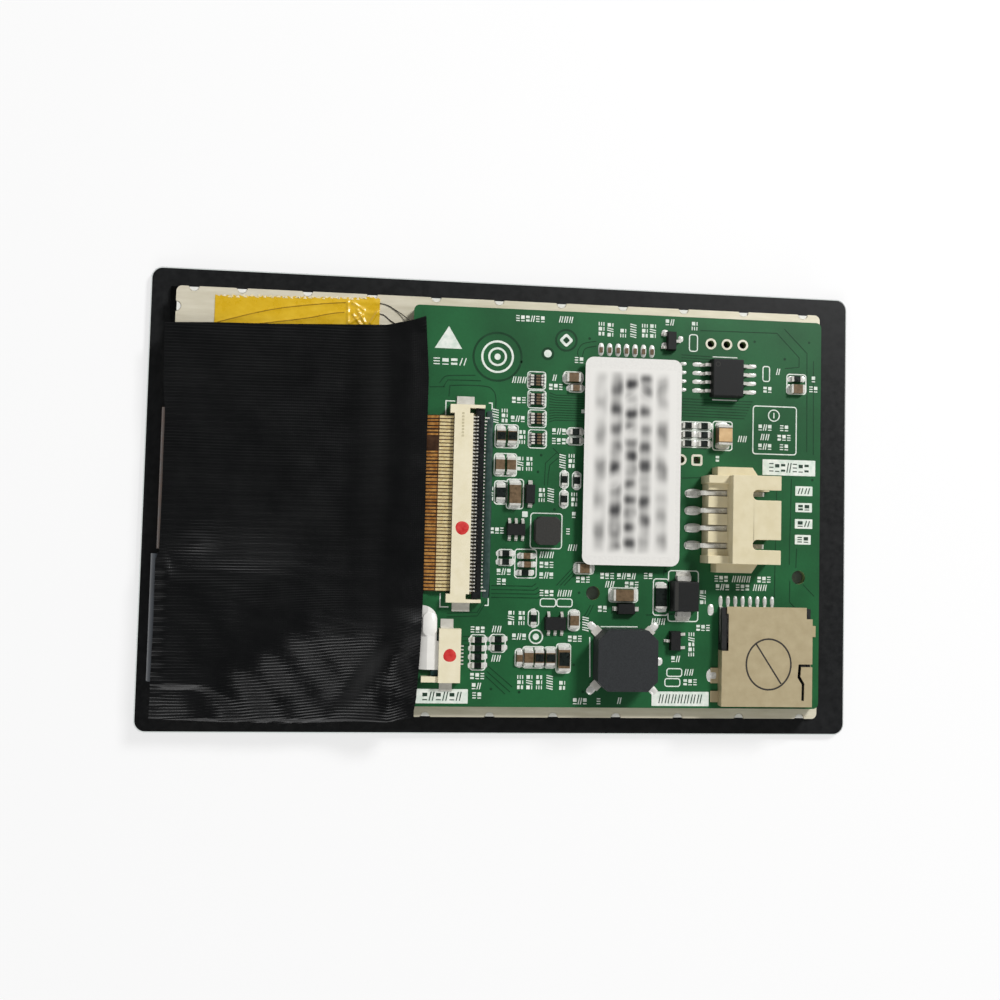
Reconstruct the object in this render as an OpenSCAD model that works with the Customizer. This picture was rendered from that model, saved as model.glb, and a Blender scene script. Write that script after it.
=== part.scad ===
// Touch display module lying face down: printed cover glass, display cell, backlight in its
// folded tray, flex circuits under cloth tape, and the driver board with its connectors.
// Millimetres. +X along the long side, +Z towards the back, origin under the cover's centre.

/* [Cover] */
// Width of the cover glass
cover_w = 103.5; // [102.5:0.5:112]
// Height of the cover glass
cover_h = 66; // [64:0.5:72]
// Thickness of the cover glass
cover_t = 1.1; // [0.7:0.1:2]
// Corner radius of the cover glass
cover_r = 1.7; // [0.8:0.1:4]
// Ground chamfer along the edges of the cover glass
cover_chamfer = 0.2; // [0.05:0.05:0.3]
// Thickness of the black border print
print_t = 0.05; // [0.02:0.01:0.2]
// Black border between the tray's edge and the clear window, above and below
window_rim = 4; // [3.6:0.1:6]
// Black border between the tray's edge and the clear window, on the right
window_rim_right = 2.2; // [1.9:0.1:4]

/* [Touch sensor] */
// Thickness of the touch sensor glass
sensor_t = 0.5; // [0.3:0.05:1]
// How far the touch sensor reaches past the tray on three sides
sensor_lap = 0.4; // [0.2:0.1:0.8]
// Width of the sensor's bonding strip past the tray on the left
sensor_ledge = 1.2; // [1:0.1:1.6]
// Thickness of the foam gasket
gasket_t = 0.3; // [0.2:0.05:0.8]
// Width of the gasket's band
gasket_band = 1.6; // [1:0.1:2]

/* [Display cell] */
// How far the colour filter glass reaches past the window at each side
filter_lap = 0.9; // [0.7:0.1:1.1]
// How far both glass plates reach past the window above and below
glass_lap = 1.3; // [0.9:0.1:2.1]
// Thickness of each glass plate
glass_t = 0.3; // [0.2:0.05:0.7]
// Width of the transistor glass's bonding ledge on the left
glass_ledge = 3; // [2.6:0.1:3.2]
// Thickness of each polariser
polariser_t = 0.15; // [0.1:0.05:0.3]
// Length of the driver chip on the ledge
driver_len = 22; // [12:0.5:30]

/* [Backlight] */
// Width of the metal tray
tray_w = 93.8; // [93.4:0.1:95]
// Height of the metal tray
tray_h = 59.8; // [58.5:0.1:62]
// Place of the tray's centre across the cover
tray_x = -0.7; // [-1:0.1:1]
// Place of the tray's centre up the cover
tray_y = -0.2; // [-1:0.1:1]
// Sheet thickness of the tray
tray_sheet = 0.3; // [0.2:0.05:0.5]
// Corner radius of the tray
tray_r = 0.8; // [0.5:0.1:2]
// Depth of the tray's folded walls
tray_wall = 1.7; // [1:0.1:2.2]
// Radius of the half-round notches along the tray's edge
notch_r = 0.75; // [0.4:0.05:1.2]
// Spacing of the notches
notch_pitch = 9.13; // [6:0.01:14]
// Thickness of each optical film
film_t = 0.1; // [0.05:0.01:0.2]
// Thickness of the light guide
guide_t = 0.6; // [0.4:0.05:1]
// Number of lamps along the light guide
led_count = 7; // [4:1:8]

/* [Board] */
// Width of the circuit board
board_w = 60.1; // [59.2:0.1:61]
// Height of the circuit board
board_h = 56.6; // [56.4:0.1:58.5]
// Thickness of the circuit board
board_t = 1.2; // [0.8:0.1:2]
// Corner radius of the circuit board
board_r = 0.8; // [0.3:0.1:2]
// Thickness of the foam tape under the board
pad_t = 0.6; // [0.3:0.1:1.5]
// Radius of the two tooling holes
tooling_r = 1; // [0.6:0.05:1.2]
// Radius of the plated holes
plated_r = 0.5; // [0.3:0.05:0.7]

/* [Flex circuits] */
// Number of contacts of the display flex
lcd_pins = 50; // [40:2:50]
// Spacing of the display flex's contacts
lcd_pitch = 0.5; // [0.4:0.05:0.5]
// Thickness of a flex circuit
flex_t = 0.12; // [0.08:0.01:0.2]
// Width of the touch flex near its connector
touch_flex_w = 8.9; // [6.5:0.1:9.2]
// How much the display flex narrows to where it comes round the edge
flex_neck = 5.1; // [4:0.1:6]
// Number of contacts of the touch flex
touch_pins = 6; // [4:1:8]

/* [Tapes and leads] */
// Thickness of the cloth tape
cloth_t = 0.25; // [0.15:0.05:0.5]
// How far the cloth tape laps onto the board
cloth_lap = 1.65; // [0.8:0.05:1.9]
// Width of the polyimide tape
film_tape_w = 22.9; // [20:0.1:24]
// Height of the polyimide tape
film_tape_h = 5.4; // [4.8:0.1:5.6]
// Thickness of the polyimide tape
film_tape_t = 0.06; // [0.04:0.01:0.15]
// Diameter of the two backlight leads
lead_d = 0.3; // [0.2:0.02:0.34]

/* [Display connector] */
// Height of the display connector
zif_h = 1.6; // [1.5:0.05:2.2]
// Width of the connector's fixed roof
zif_roof_w = 2.65; // [2.4:0.05:2.7]
// Opening angle of the latch as drawn
latch_angle = 0; // [0:5:90]

/* [Touch connector] */
// Width of the touch connector's body
touch_body_w = 3.06; // [2.8:0.02:3.4]
// Length of the touch connector's body
touch_body_h = 7.46; // [7.2:0.02:8]
// Height of the touch connector
touch_body_t = 1.6; // [1.4:0.05:2]

/* [Power header] */
// Number of pins of the power header
header_pins_n = 4; // [2:1:4]
// Spacing of the header's pins
header_pitch = 2.5; // [2:0.1:2.54]
// Height of the header
header_h = 5.95; // [5.9:0.05:7]
// Depth of the header's socket box
header_d = 7; // [6.8:0.1:7.4]
// Wall thickness of the header
header_wall = 0.75; // [0.5:0.05:0.8]
// Width across one square pin
pin_side = 0.64; // [0.4:0.02:0.7]

/* [Card socket] */
// Width of the card socket
socket_w = 13.4; // [13.2:0.1:14]
// Length of the card socket
socket_h = 14.2; // [13.8:0.1:14.4]
// Height of the card socket
socket_t = 1.9; // [1.8:0.05:2.4]
// Sheet thickness of the socket's shell
shell_sheet = 0.18; // [0.12:0.01:0.25]

/* [Board parts] */
// Side of the square buzzer
buzzer_side = 8.5; // [7:0.1:8.8]
// Height of the buzzer
buzzer_t = 4; // [2.5:0.1:5]
// Side of the controller chip
controller_side = 12; // [10:0.1:12.2]
// Height of the chips under the label
chip_t = 1.4; // [0.9:0.05:2]
// Width of the label
label_w = 14.1; // [12.4:0.1:14.4]
// Height of the label
label_h = 29.7; // [26:0.1:30]
// Thickness of the label
label_t = 0.1; // [0.05:0.01:0.2]
// Side of the power inductor across the board
inductor_w = 3.6; // [3:0.1:3.8]
// Height of the power inductor
inductor_t = 2; // [1.2:0.1:3]

/* [Hidden] */
$fn = 48;

// Small gaps shared by the pieces that fit together
fit = 0.1;
slide_fit = 0.05;
// Depth by which a cutting shape runs past the face it cuts
over = 0.5;

// Heights of the layers, from the front of the cover glass
print_z = cover_t;
sensor_z = print_z + print_t;
gasket_z = sensor_z + sensor_t;
frame_z = gasket_z + gasket_t;
filter_z = frame_z + polariser_t;
transistor_z = filter_z + glass_t;
rear_polariser_z = transistor_z + glass_t;
ledge_z = rear_polariser_z + polariser_t;
frame_ledge_t = 0.2;
film_z = ledge_z + frame_ledge_t;
guide_z = film_z + 3 * film_t;
reflector_z = guide_z + guide_t;
tray_in_z = reflector_z + film_t;
tray_back = tray_in_z + tray_sheet;
board_z = tray_back + pad_t;
board_top = board_z + board_t;

// Edges of the tray and of the board
tray_left = tray_x - tray_w / 2;
tray_right = tray_x + tray_w / 2;
tray_top = tray_y + tray_h / 2;
notch_end = 2.6;
notch_count = floor((tray_w - 2 * notch_end) / notch_pitch);
notch_rows = [for (i = [0 : notch_count], s = [-1, 1])
    [tray_right - notch_end - i * notch_pitch, tray_y + s * tray_h / 2]];
notch_places = concat(notch_rows, [[tray_left + 2.4, tray_top], [tray_left, tray_top - 2.9]]);
board_dx = 16.4;
board_dy = 0.1;
board_x = tray_x + board_dx;
board_y = tray_y + board_dy;
board_left = board_x - board_w / 2;

// Display cell, whose clear area is centred on the window
window_x = tray_x + glass_ledge / 2;
window_w = tray_w - 2 * window_rim_right - glass_ledge;
window_h = tray_h - 2 * window_rim;
filter_w = window_w + 2 * filter_lap;
glass_h = window_h + 2 * glass_lap;
glass_w = filter_w + glass_ledge;
polariser_lap = 0.6;
frame_w = tray_w - 2 * tray_sheet - 2 * fit;
frame_h = tray_h - 2 * tray_sheet - 2 * fit;
ledge_lap = 0.1;

// Light guide and its lamps, in the frame's rear pocket
rear_lap = 0.9;
pocket_w = window_w + 2 * rear_lap;
pocket_h = window_h + 2 * rear_lap;
led_depth = 1.2;
led_len = 3;
led_zone = led_depth + 2 * fit;
guide_w = pocket_w - led_zone - fit;
guide_h = pocket_h - 2 * fit;
pocket_left = window_x - pocket_w / 2;
guide_x = pocket_left + led_zone + guide_w / 2;

// Tail of the lamp strip, which comes up through the tray
tail_slot_w = 0.6;
tail_len = 3;
tail_h = 3.6;
tail_x = pocket_left + 0.4;
tail_y = tray_top - 8.8;

// Flex circuits round the left edge of the tray
flex_lift = 0.05;
touch_bend_x = tray_left - 0.8;
display_bend_x = tray_left - 0.35;
flex_top = tray_back + flex_lift + flex_t / 2;
flex_w = lcd_pins * lcd_pitch - 0.2;
flex_y = board_y + 0.2;
flex_low = flex_y - flex_w / 2;
flex_gap = 0.7;
wrap_top = flex_low + flex_neck - flex_gap;
wrap_low = tray_y - tray_h / 2 + 4.6;
bond_len = 1.4;
ramp_len = 2.2;
ramp_x = board_left - ramp_len - 0.5;
board_lift = 0.1;

// Cloth tape over the flex circuits
cloth_lift = 0.45;
cloth_left = tray_left - 1.6;
cloth_right = board_left + cloth_lap;
cloth_low = tray_y - tray_h / 2 - 0.1;
cloth_high = tray_top - 4.6;
cloth_droop = 0.15;
cloth_board_lift = 0.4;

// Polyimide tape and the leads under it
film_tape_left = tray_left + 5.35;
film_tape_top = tray_top - 0.6;
lead_r = lead_d / 2;
lead_play = 0.06;
lead_z = tray_back + lead_r;
lead_sides = 8;
lead_corner = film_tape_left + film_tape_w - 4.6;

// Display connector, on the board
zif_x = -21.8;
zif_y = flex_y - board_y;
zif_front = -2.2;
zif_rear = 2.1;
zif_floor = 0.45;
zif_roof = 0.5;
zif_end = 1.2;
zif_arm = 0.45;
zif_block = 2.15;
zif_ear = 0.6;
ffc_play = 0.3;
zif_row = flex_w + 2 * ffc_play;
contact_t = 0.1;
contact_w = 0.2;
fork_x = 0.5;
fork_w = 0.2;
fork_z = zif_h - zif_roof - 0.2;
ffc_t = 0.25;
ffc_z = zif_floor + contact_t + 0.05;
ffc_end = fork_x - fit;
latch_x = 1.05;
latch_z = zif_floor + 0.5;
latch_r = 0.28;
latch_slot_r = 0.45;
latch_pin_r = 0.2;
latch_pin_len = 0.25;
latch_flap = zif_rear - latch_x;
latch_room = zif_row + 2 * (zif_end - zif_arm);
latch_len = latch_room - 2 * fit;
foot_len = 0.8;

// Touch connector, on the board
touch_x = -23.84;
touch_y = -21.1;
touch_front = -touch_body_w / 2;
touch_pitch = 0.5;
touch_tail_w = touch_pins * touch_pitch + 1;
touch_slot_depth = 2.4;
touch_floor = 0.4;
tongue_t = 0.25;
tongue_z = touch_floor + slide_fit;
slider_bar_w = 0.9;
slider_bar_x = touch_front - fit - slider_bar_w;
touch_travel = 0.6;
slider_bar_z = 0.15;
slider_bar_t = tongue_z + tongue_t - slider_bar_z;
slider_len = 5.6;
slider_ear_w = 0.7;
slider_ear_len = 0.5;
touch_flex_z = tongue_z + tongue_t + fit;
touch_arm_len = 2.35;
touch_arm_w = 0.8;
touch_arm_t = 1.1;

// Power header, on the board
header_x = 17.3;
header_y = -1.2;
header_mouth = 4.8;
header_back = header_mouth - header_d;
header_side_room = 2.5;
header_w = (header_pins_n - 1) * header_pitch + 2 * header_side_room;
header_floor = 0.9;
header_back_t = 1.6;
header_pin_z = 2.6;
header_rear_d = 2.8;
header_rear_h = 3.3;
header_tip = 3.4;
header_slot_w = 1.45;
header_slot_len = 4.1;
header_slot_in = 2.75;
ear_w = 1.3;
ear_h = 2.9;
ear_len = 6.1;
ear_set_back = 2.3;
ear_lean = 0.9;
lug_w = 1.1;
lug_h = 4.2;
pin_groove = 0.9;
pin_foot = 2.1;

// Card socket, on the board
socket_x = 21.7;
socket_y = -20.7;
base_floor = 0.35;
base_wall = 0.5;
base_rear = 0.6;
contact_gap = 0.15;
card_contact_n = 8;
card_contact_pitch = 1.1;
card_contact_w = 0.4;
card_contact_x = -6.45;
card_contact_arm = 5;
card_contact_rise = 0.35;
slider_w = 0.85;
slider_h = 4;
slider_y = -0.5;
slider_travel = 2.5;
spring_r = 0.34;
spring_wire = 0.07;
spring_turns = 7;
spring_steps = 10;
spring_sides = 6;
shell_wall_end = 0.8;
// Cut round the card tongue in the shell's roof, from the shell's right edge
tongue_cut = [
    [0.5, -1], [-2.05, -1], [-2.2, -2.9], [-1.55, -3.9], [-1.6, -6.2],
    [-1.2, -6.2], [-1.15, -3.75], [-1.75, -2.75], [-1.65, -1.4], [0.5, -1.4]
];
tab_t = 0.15;
tab_w = 1.3;
tab_places = [[-1, -2.9, 2.2], [-1, -5.9, 1.6], [1, 3.6, 1.6]];

// Chips and other parts placed on the board
controller_at = [1.8, 14];
memory_at = [1.8, -0.6];
memory_size = [10, 12];
flash_at = [15.5, 19.4];
flash_size = [4.7, 5.6];
flash_t = 1.8;
label_at = [1.6, 6.8];
label_r = 1.2;
inductor_at = [-10.45, -3.4];
inductor_h = 4;
inductor_cut = 0.6;
buzzer_at = [0.95, -21.3];
buzzer_cut = 1.4;
buzzer_tab_t = 0.2;
chip_stand = 0.1;
chip_draft = 0.12;
lead_t = 0.15;
// Small chips: place, body size, then lead counts on the left, right, low and high sides
small_chip_t = 1;
small_chip_places = [
    [[7.3, 24.6], [1.4, 2.8], [2, 1, 0, 0]],
    [[8.5, -18.7], [1.6, 2.8], [1, 2, 0, 0]],
    [[-14.8, -3.3], [2.7, 1.7], [0, 0, 3, 3]],
    [[-8.9, -16.5], [3.1, 1.9], [0, 0, 3, 2]]
];
power_diode_at = [9.6, -12.3];
power_diode_size = [3.9, 4.4];
power_diode_t = 2.2;
signal_diode_t = 1;
// Signal diodes: place, body size and turn
signal_diode_places = [
    [[-12.9, 1.8], [1.45, 2.7], 0],
    [[1.25, -14.25], [1.6, 2.6], 90]
];
// Chip parts: length, width, height of a resistor, height of a capacitor
chip_0603 = [1.6, 0.8, 0.45, 0.7];
chip_0805 = [2, 1.25, 0.5, 0.9];
chip_1206 = [3.2, 1.6, 0.55, 1.2];
chip_tan = [2.8, 2, 0.55, 1.7];
chip_end = 0.3;
// Chip resistors: place, turn and size
resistor_places = [
    [[-19.8, -18.9], 0, chip_0603], [[-19.8, -20.1], 0, chip_0603],
    [[-19.8, -21.3], 0, chip_0603], [[-19.8, -22.5], 0, chip_0603],
    [[-17, -18.8], 0, chip_0603], [[-17, -20], 0, chip_0603],
    [[-17.1, 1.9], 90, chip_0805],
    [[-6.5, 10.9], 0, chip_0603], [[-6.5, 9.6], 0, chip_0603],
    [[-8, 4], 90, chip_0603], [[-6.2, 3.9], 90, chip_0603], [[-8, 1.2], 90, chip_0603],
    [[-16.2, -6.7], 0, chip_0603], [[-16.2, -7.9], 0, chip_0603],
    [[-13.4, -9.4], 0, chip_0603],
    [[-12, -15.8], 90, chip_0603],
    [[10, 12.4], 0, chip_0603], [[12.4, 12.4], 0, chip_0603],
    [[10, 11.1], 0, chip_0603], [[12.4, 11.1], 0, chip_0603],
    [[10, 9.8], 0, chip_0603], [[12.4, 9.8], 0, chip_0603],
    [[26.3, 19.8], 0, chip_0603],
    [[6.4, -12.5], 90, chip_1206]
];
// Chip capacitors: place, turn and size
capacitor_places = [
    [[-17.25, 9.95], 90, chip_0805], [[-15.65, 9.95], 90, chip_0805],
    [[-17.3, 5.85], 90, chip_0805], [[-15.7, 5.85], 90, chip_0805],
    [[-7, 18.7], 0, chip_0805], [[-6.6, 17.2], 0, chip_0603],
    [[-15.1, 1.7], 90, chip_1206],
    [[-13.2, -7], 0, chip_0603], [[-13.1, -8.2], 0, chip_0603],
    [[-4.9, -8.6], 0, chip_0805],
    [[-6.2, -16], 90, chip_0805],
    [[-13.9, -21.4], 90, chip_0603], [[-12.6, -21.3], 90, chip_0805],
    [[-11.1, -21.3], 90, chip_0805], [[-9.5, -21.3], 90, chip_0805],
    [[-7.6, -21.4], 90, chip_1206],
    [[0.9, -12.3], 0, chip_1206],
    [[26.3, 18.3], 0, chip_0805],
    [[15.2, 11.05], 90, chip_tan]
];
// Resistor networks: places of the four bodies
network_size = [2, 1.6];
network_t = 0.5;
network_places = [[-12.3, 18.1], [-12.2, 15.4], [-12.1, 12.6], [-12, 9.7]];
// Board holes
tooling_places = [[-3.5, -12.1], [26.9, -9.3]];
plated_places = [[13.3, 24.5], [15.7, 24.5], [18.1, 24.5], [9.1, 7.4], [11.45, 7.4]];

// Colours of the materials
black_print = "#222222";
glass_colour = "#8fa3a8";
white_plastic = "#eceae4";
film_colour = "#dfe3e2";
champagne = "#d0c6ae";
amber = "#d6ae2c";
cloth_black = "#15171a";
board_green = "#226e3c";
cream = "#ede3c4";
tin = "#d8d8d4";
copper = "#b5742f";
chip_black = "#26272a";
tan_ceramic = "#c9a878";
shell_colour = "#bdae90";

// A flat block centred on the Z axis
module slab(w, h, t) {
    translate([-w / 2, -h / 2, 0]) cube([w, h, t]);
}

// Outline of a rectangle with round corners
module round_outline(w, h, r) {
    square([w - 2 * r, h], center = true);
    square([w, h - 2 * r], center = true);
    for (sx = [-1, 1], sy = [-1, 1])
        translate([sx * (w / 2 - r), sy * (h / 2 - r)]) circle(r);
}

// A plate with round corners
module round_slab(w, h, t, r) {
    linear_extrude(t) round_outline(w, h, r);
}

// A rectangular ring
module ring_slab(w, h, t, band) {
    difference() {
        slab(w, h, t);
        translate([0, 0, -over]) slab(w - 2 * band, h - 2 * band, t + 2 * over);
    }
}

// A moulded body whose sides lean in towards the top
module moulded_body(w, h, t, draft) {
    corners = [[-1, -1], [1, -1], [1, 1], [-1, 1]];
    low = [for (c = corners) [c[0] * w / 2, c[1] * h / 2, 0]];
    high = [for (c = corners) [c[0] * (w / 2 - draft), c[1] * (h / 2 - draft), t]];
    sides = [for (k = [0 : 3]) [k, k + 4, (k + 1) % 4 + 4, (k + 1) % 4]];
    polyhedron(concat(low, high), concat([[0, 1, 2, 3], [7, 6, 5, 4]], sides));
}

// A profile drawn in X and Z, carried along Y about y = 0
module along_y(width) {
    rotate([90, 0, 0]) linear_extrude(width, center = true) children();
}

// A lead that leaves a body at a height, drops to the board and ends in a foot
module gull_lead(reach, rise, width) {
    bend = reach * 0.45;
    along_y(width) polygon([
        [0, rise - lead_t], [0, rise], [bend + lead_t, rise], [bend + lead_t, lead_t],
        [reach, lead_t], [reach, 0], [bend, 0], [bend, rise - lead_t]
    ]);
}

// A row of leads along one side of a body
module lead_row(n, pitch, reach, rise, width) {
    for (i = [0 : n - 1])
        translate([0, (i - (n - 1) / 2) * pitch, 0]) gull_lead(reach, rise, width);
}

// Moves a part to its place on top of the board
module on_board(place) {
    translate([board_x + place[0], board_y + place[1], board_top]) children();
}

// Half ring of a flex circuit that turns round the tray's edge, between two heights
module flex_bend(bend_x, low, high) {
    r = (high - low) / 2;
    translate([bend_x, low + r]) difference() {
        circle(r + flex_t / 2);
        circle(r - flex_t / 2);
        translate([0, -r - over]) square([r + over, 2 * r + 2 * over]);
    }
}

// A strip of even thickness along a line that only climbs gently
module strip(points, t) {
    low = [for (p = points) [p[0], p[1] - t / 2]];
    high = [for (i = [len(points) - 1 : -1 : 0]) [points[i][0], points[i][1] + t / 2]];
    polygon(concat(low, high));
}

// Line of a flex circuit from the tray's edge up onto the board, level again before its connector
function flex_line(bend_x, level_x, plug_x, plug_z) = [
    [bend_x, flex_top], [ramp_x, flex_top],
    [ramp_x + ramp_len, board_top + board_lift + flex_t / 2],
    [cloth_right + 0.05, board_top + board_lift + flex_t / 2],
    [level_x, plug_z], [plug_x, plug_z]
];

// Sides of a tube that follows a line of points
function unit(v) = v / norm(v);
function along(p, i) = unit(p[min(i + 1, len(p) - 1)] - p[max(i - 1, 0)]);
function ring_points(p, i, r, sides) =
    let (d = along(p, i), s = unit(cross(d, abs(d[2]) > 0.9 ? [1, 0, 0] : [0, 0, 1])), u = cross(s, d))
    [for (k = [0 : sides - 1]) p[i] + r * (cos(360 * k / sides) * s + sin(360 * k / sides) * u)];

module tube(p, r, sides) {
    rings = len(p);
    body = [for (i = [0 : rings - 2], k = [0 : sides - 1])
        let (a = i * sides, b = a + sides, n = (k + 1) % sides) [a + k, a + n, b + n, b + k]];
    ends = [
        [for (k = [sides - 1 : -1 : 0]) k],
        [for (k = [0 : sides - 1]) (rings - 1) * sides + k]
    ];
    polyhedron([for (i = [0 : rings - 1]) each ring_points(p, i, r, sides)], concat(body, ends));
}

module cover_glass() {
    color(glass_colour) hull() {
        round_slab(cover_w - 2 * cover_chamfer, cover_h - 2 * cover_chamfer, cover_t,
            cover_r - cover_chamfer);
        translate([0, 0, cover_chamfer])
            round_slab(cover_w, cover_h, cover_t - 2 * cover_chamfer, cover_r);
    }
}

module border_print() {
    color(black_print) translate([0, 0, print_z]) difference() {
        round_slab(cover_w - 2 * cover_chamfer, cover_h - 2 * cover_chamfer, print_t,
            cover_r - cover_chamfer);
        translate([window_x, tray_y, -over]) slab(window_w, window_h, print_t + 2 * over);
    }
}

module optical_adhesive() {
    color(film_colour) translate([window_x, tray_y, print_z])
        slab(window_w - 2 * fit, window_h - 2 * fit, print_t);
}

module touch_sensor() {
    left = tray_left - sensor_ledge;
    right = tray_right + sensor_lap;
    color(glass_colour) translate([(left + right) / 2, tray_y, sensor_z])
        slab(right - left, tray_h + 2 * sensor_lap, sensor_t);
}

module touch_flex() {
    low = gasket_z + flex_t / 2;
    plug = [board_x + touch_x + touch_front + touch_slot_depth - 0.3, board_top + touch_flex_z + flex_t / 2];
    shoulder = board_x + touch_x + touch_front - 0.3;
    tail_low = board_y + touch_y - touch_tail_w / 2;
    high = tail_low + touch_flex_w;
    corner = 2;
    edge = touch_bend_x - flex_top;
    level = board_x + touch_x + slider_bar_x - touch_travel;
    wrap_x = tray_left + 3.6;
    taper = 6;
    color(white_plastic) intersection() {
        translate([0, board_y + touch_y, 0]) along_y(2 * (wrap_top - wrap_low)) {
            flex_bend(touch_bend_x, low, flex_top);
            translate([touch_bend_x, low - flex_t / 2]) square([sensor_ledge - 0.5, flex_t]);
            strip(flex_line(touch_bend_x, level, plug[0], plug[1]), flex_t);
        }
        linear_extrude(board_top + touch_body_t) union() {
            translate([edge, tail_low]) square([shoulder - corner - edge, touch_flex_w]);
            translate([edge, tail_low]) square([shoulder - edge, touch_flex_w - corner]);
            translate([shoulder - corner, high - corner]) circle(corner);
            translate([edge, tail_low]) square([plug[0] - edge, touch_tail_w]);
            polygon([[edge, wrap_low], [wrap_x, wrap_low], [wrap_x + taper, tail_low],
                [wrap_x + taper, high], [wrap_x, wrap_top], [edge, wrap_top]]);
        }
    }
}

module gasket() {
    color(black_print) translate([tray_x, tray_y, gasket_z])
        ring_slab(frame_w, frame_h, gasket_t, gasket_band);
}

module front_polariser() {
    color(film_colour) translate([window_x, tray_y, frame_z])
        slab(filter_w - 2 * polariser_lap, glass_h - 2 * polariser_lap, polariser_t);
}

module colour_filter_glass() {
    color(glass_colour) translate([window_x, tray_y, filter_z]) slab(filter_w, glass_h, glass_t);
}

module transistor_glass() {
    color(glass_colour) translate([tray_x, tray_y, transistor_z]) slab(glass_w, glass_h, glass_t);
}

module driver_chip() {
    chip_w = 0.9;
    chip_thick = glass_t * 0.9;
    color(chip_black)
        translate([window_x - filter_w / 2 - 0.3 - chip_w / 2, flex_y, transistor_z - chip_thick])
        slab(chip_w, driver_len, chip_thick);
}

module rear_polariser() {
    color(film_colour) translate([window_x, tray_y, rear_polariser_z])
        slab(filter_w - 2 * polariser_lap, glass_h - 2 * polariser_lap, polariser_t);
}

module display_flex() {
    low = transistor_z - flex_t / 2;
    bond_end = tray_x - glass_w / 2 + bond_len;
    plug = [board_x + zif_x + ffc_end, board_top + ffc_z + ffc_t / 2];
    stiffener_out = 2.2;
    stiff_from = board_x + zif_x + zif_front - stiffener_out;
    edge = display_bend_x - flex_top;
    neck_x = tray_left + 5.6;
    taper = 8;
    color(copper) intersection() {
        translate([0, flex_y, 0]) along_y(flex_w) {
            flex_bend(display_bend_x, low, flex_top);
            translate([display_bend_x, low - flex_t / 2]) square([bond_end - display_bend_x, flex_t]);
            strip(flex_line(display_bend_x, stiff_from, stiff_from + over, plug[1]), flex_t);
            translate([stiff_from, plug[1] - ffc_t / 2]) square([plug[0] - stiff_from, ffc_t]);
        }
        linear_extrude(plug[1] + ffc_t)
            polygon([[edge, flex_low + flex_neck], [neck_x, flex_low + flex_neck],
                [neck_x + taper, flex_low - over], [plug[0] + over, flex_low - over],
                [plug[0] + over, flex_low + flex_w + over], [edge, flex_low + flex_w + over]]);
    }
}

// Half-round bosses that stand in the tray's notches, a little below its back
module notch_bosses() {
    sink = 0.3;
    boss_h = sink + tray_sheet - fit;
    intersection() {
        for (place = notch_places)
            translate([place[0], place[1], tray_in_z - sink]) cylinder(r = notch_r - fit, h = boss_h);
        translate([tray_x, tray_y, tray_in_z - 1]) slab(tray_w - 2 * fit, tray_h - 2 * fit, 2);
    }
}

module mould_frame() {
    flex_gate = tray_wall + over;
    color(white_plastic) {
        translate([0, 0, frame_z]) difference() {
            translate([tray_x, tray_y, 0]) slab(frame_w, frame_h, tray_in_z - frame_z);
            translate([tray_x, tray_y, -over])
                slab(glass_w + 2 * fit, glass_h + 2 * fit, ledge_z - frame_z + over);
            translate([window_x, tray_y, -over])
                slab(window_w + 2 * ledge_lap, window_h + 2 * ledge_lap, tray_in_z - frame_z + 2 * over);
            translate([window_x, tray_y, film_z - frame_z]) slab(pocket_w, pocket_h, tray_in_z);
            translate([tray_left, flex_y, -over])
                slab(flex_gate * 2, flex_w + 2 * fit, transistor_z - frame_z + over);
        }
        notch_bosses();
    }
}

module optical_film(z) {
    translate([window_x, tray_y, z]) slab(pocket_w - 2 * fit, pocket_h - 2 * fit, film_t);
}

module prism_sheet_front() {
    color(film_colour) optical_film(film_z);
}

module prism_sheet_rear() {
    color(film_colour) optical_film(film_z + film_t);
}

module diffuser_sheet() {
    color(white_plastic) optical_film(film_z + 2 * film_t);
}

module light_guide() {
    color(film_colour) translate([guide_x, tray_y, guide_z]) slab(guide_w, guide_h, guide_t);
}

module reflector_sheet() {
    color(white_plastic) translate([guide_x, tray_y, reflector_z]) slab(guide_w, guide_h, film_t);
}

module led_strip() {
    tail_t = film_t;
    color(amber) {
        translate([pocket_left + fit, tray_y - guide_h / 2, reflector_z])
            cube([led_zone - 2 * fit, guide_h, film_t]);
        translate([tail_x - tail_t / 2, tail_y - tail_h / 2, reflector_z])
            cube([tail_t, tail_h, tray_back + film_t - reflector_z]);
        translate([tail_x + tail_t / 2 - tail_len, tail_y - tail_h / 2, tray_back])
            cube([tail_len, tail_h, film_t]);
    }
}

module backlight_leds() {
    pitch = guide_h / led_count;
    color(white_plastic) for (i = [0 : led_count - 1])
        translate([pocket_left + fit + led_depth / 2, tray_y + (i - (led_count - 1) / 2) * pitch, guide_z])
            slab(led_depth, led_len, guide_t);
}

module back_tray() {
    notch_deep = 0.9;
    gate = max(flex_w, 1) + 2 * fit;
    color(champagne) difference() {
        translate([tray_x, tray_y, tray_back - tray_sheet - tray_wall]) difference() {
            round_slab(tray_w, tray_h, tray_wall + tray_sheet, tray_r);
            translate([0, 0, -over])
                slab(tray_w - 2 * tray_sheet, tray_h - 2 * tray_sheet, tray_wall + over);
        }
        for (place = notch_places)
            translate([place[0], place[1], tray_back - notch_deep])
                cylinder(r = notch_r, h = notch_deep + over);
        translate([tray_left, flex_y, 0]) slab(2 * tray_sheet + over, gate, tray_in_z);
        translate([tail_x, tail_y, tray_in_z - over])
            slab(tail_slot_w, tail_h + 2 * fit, tray_sheet + 2 * over);
    }
}

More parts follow.
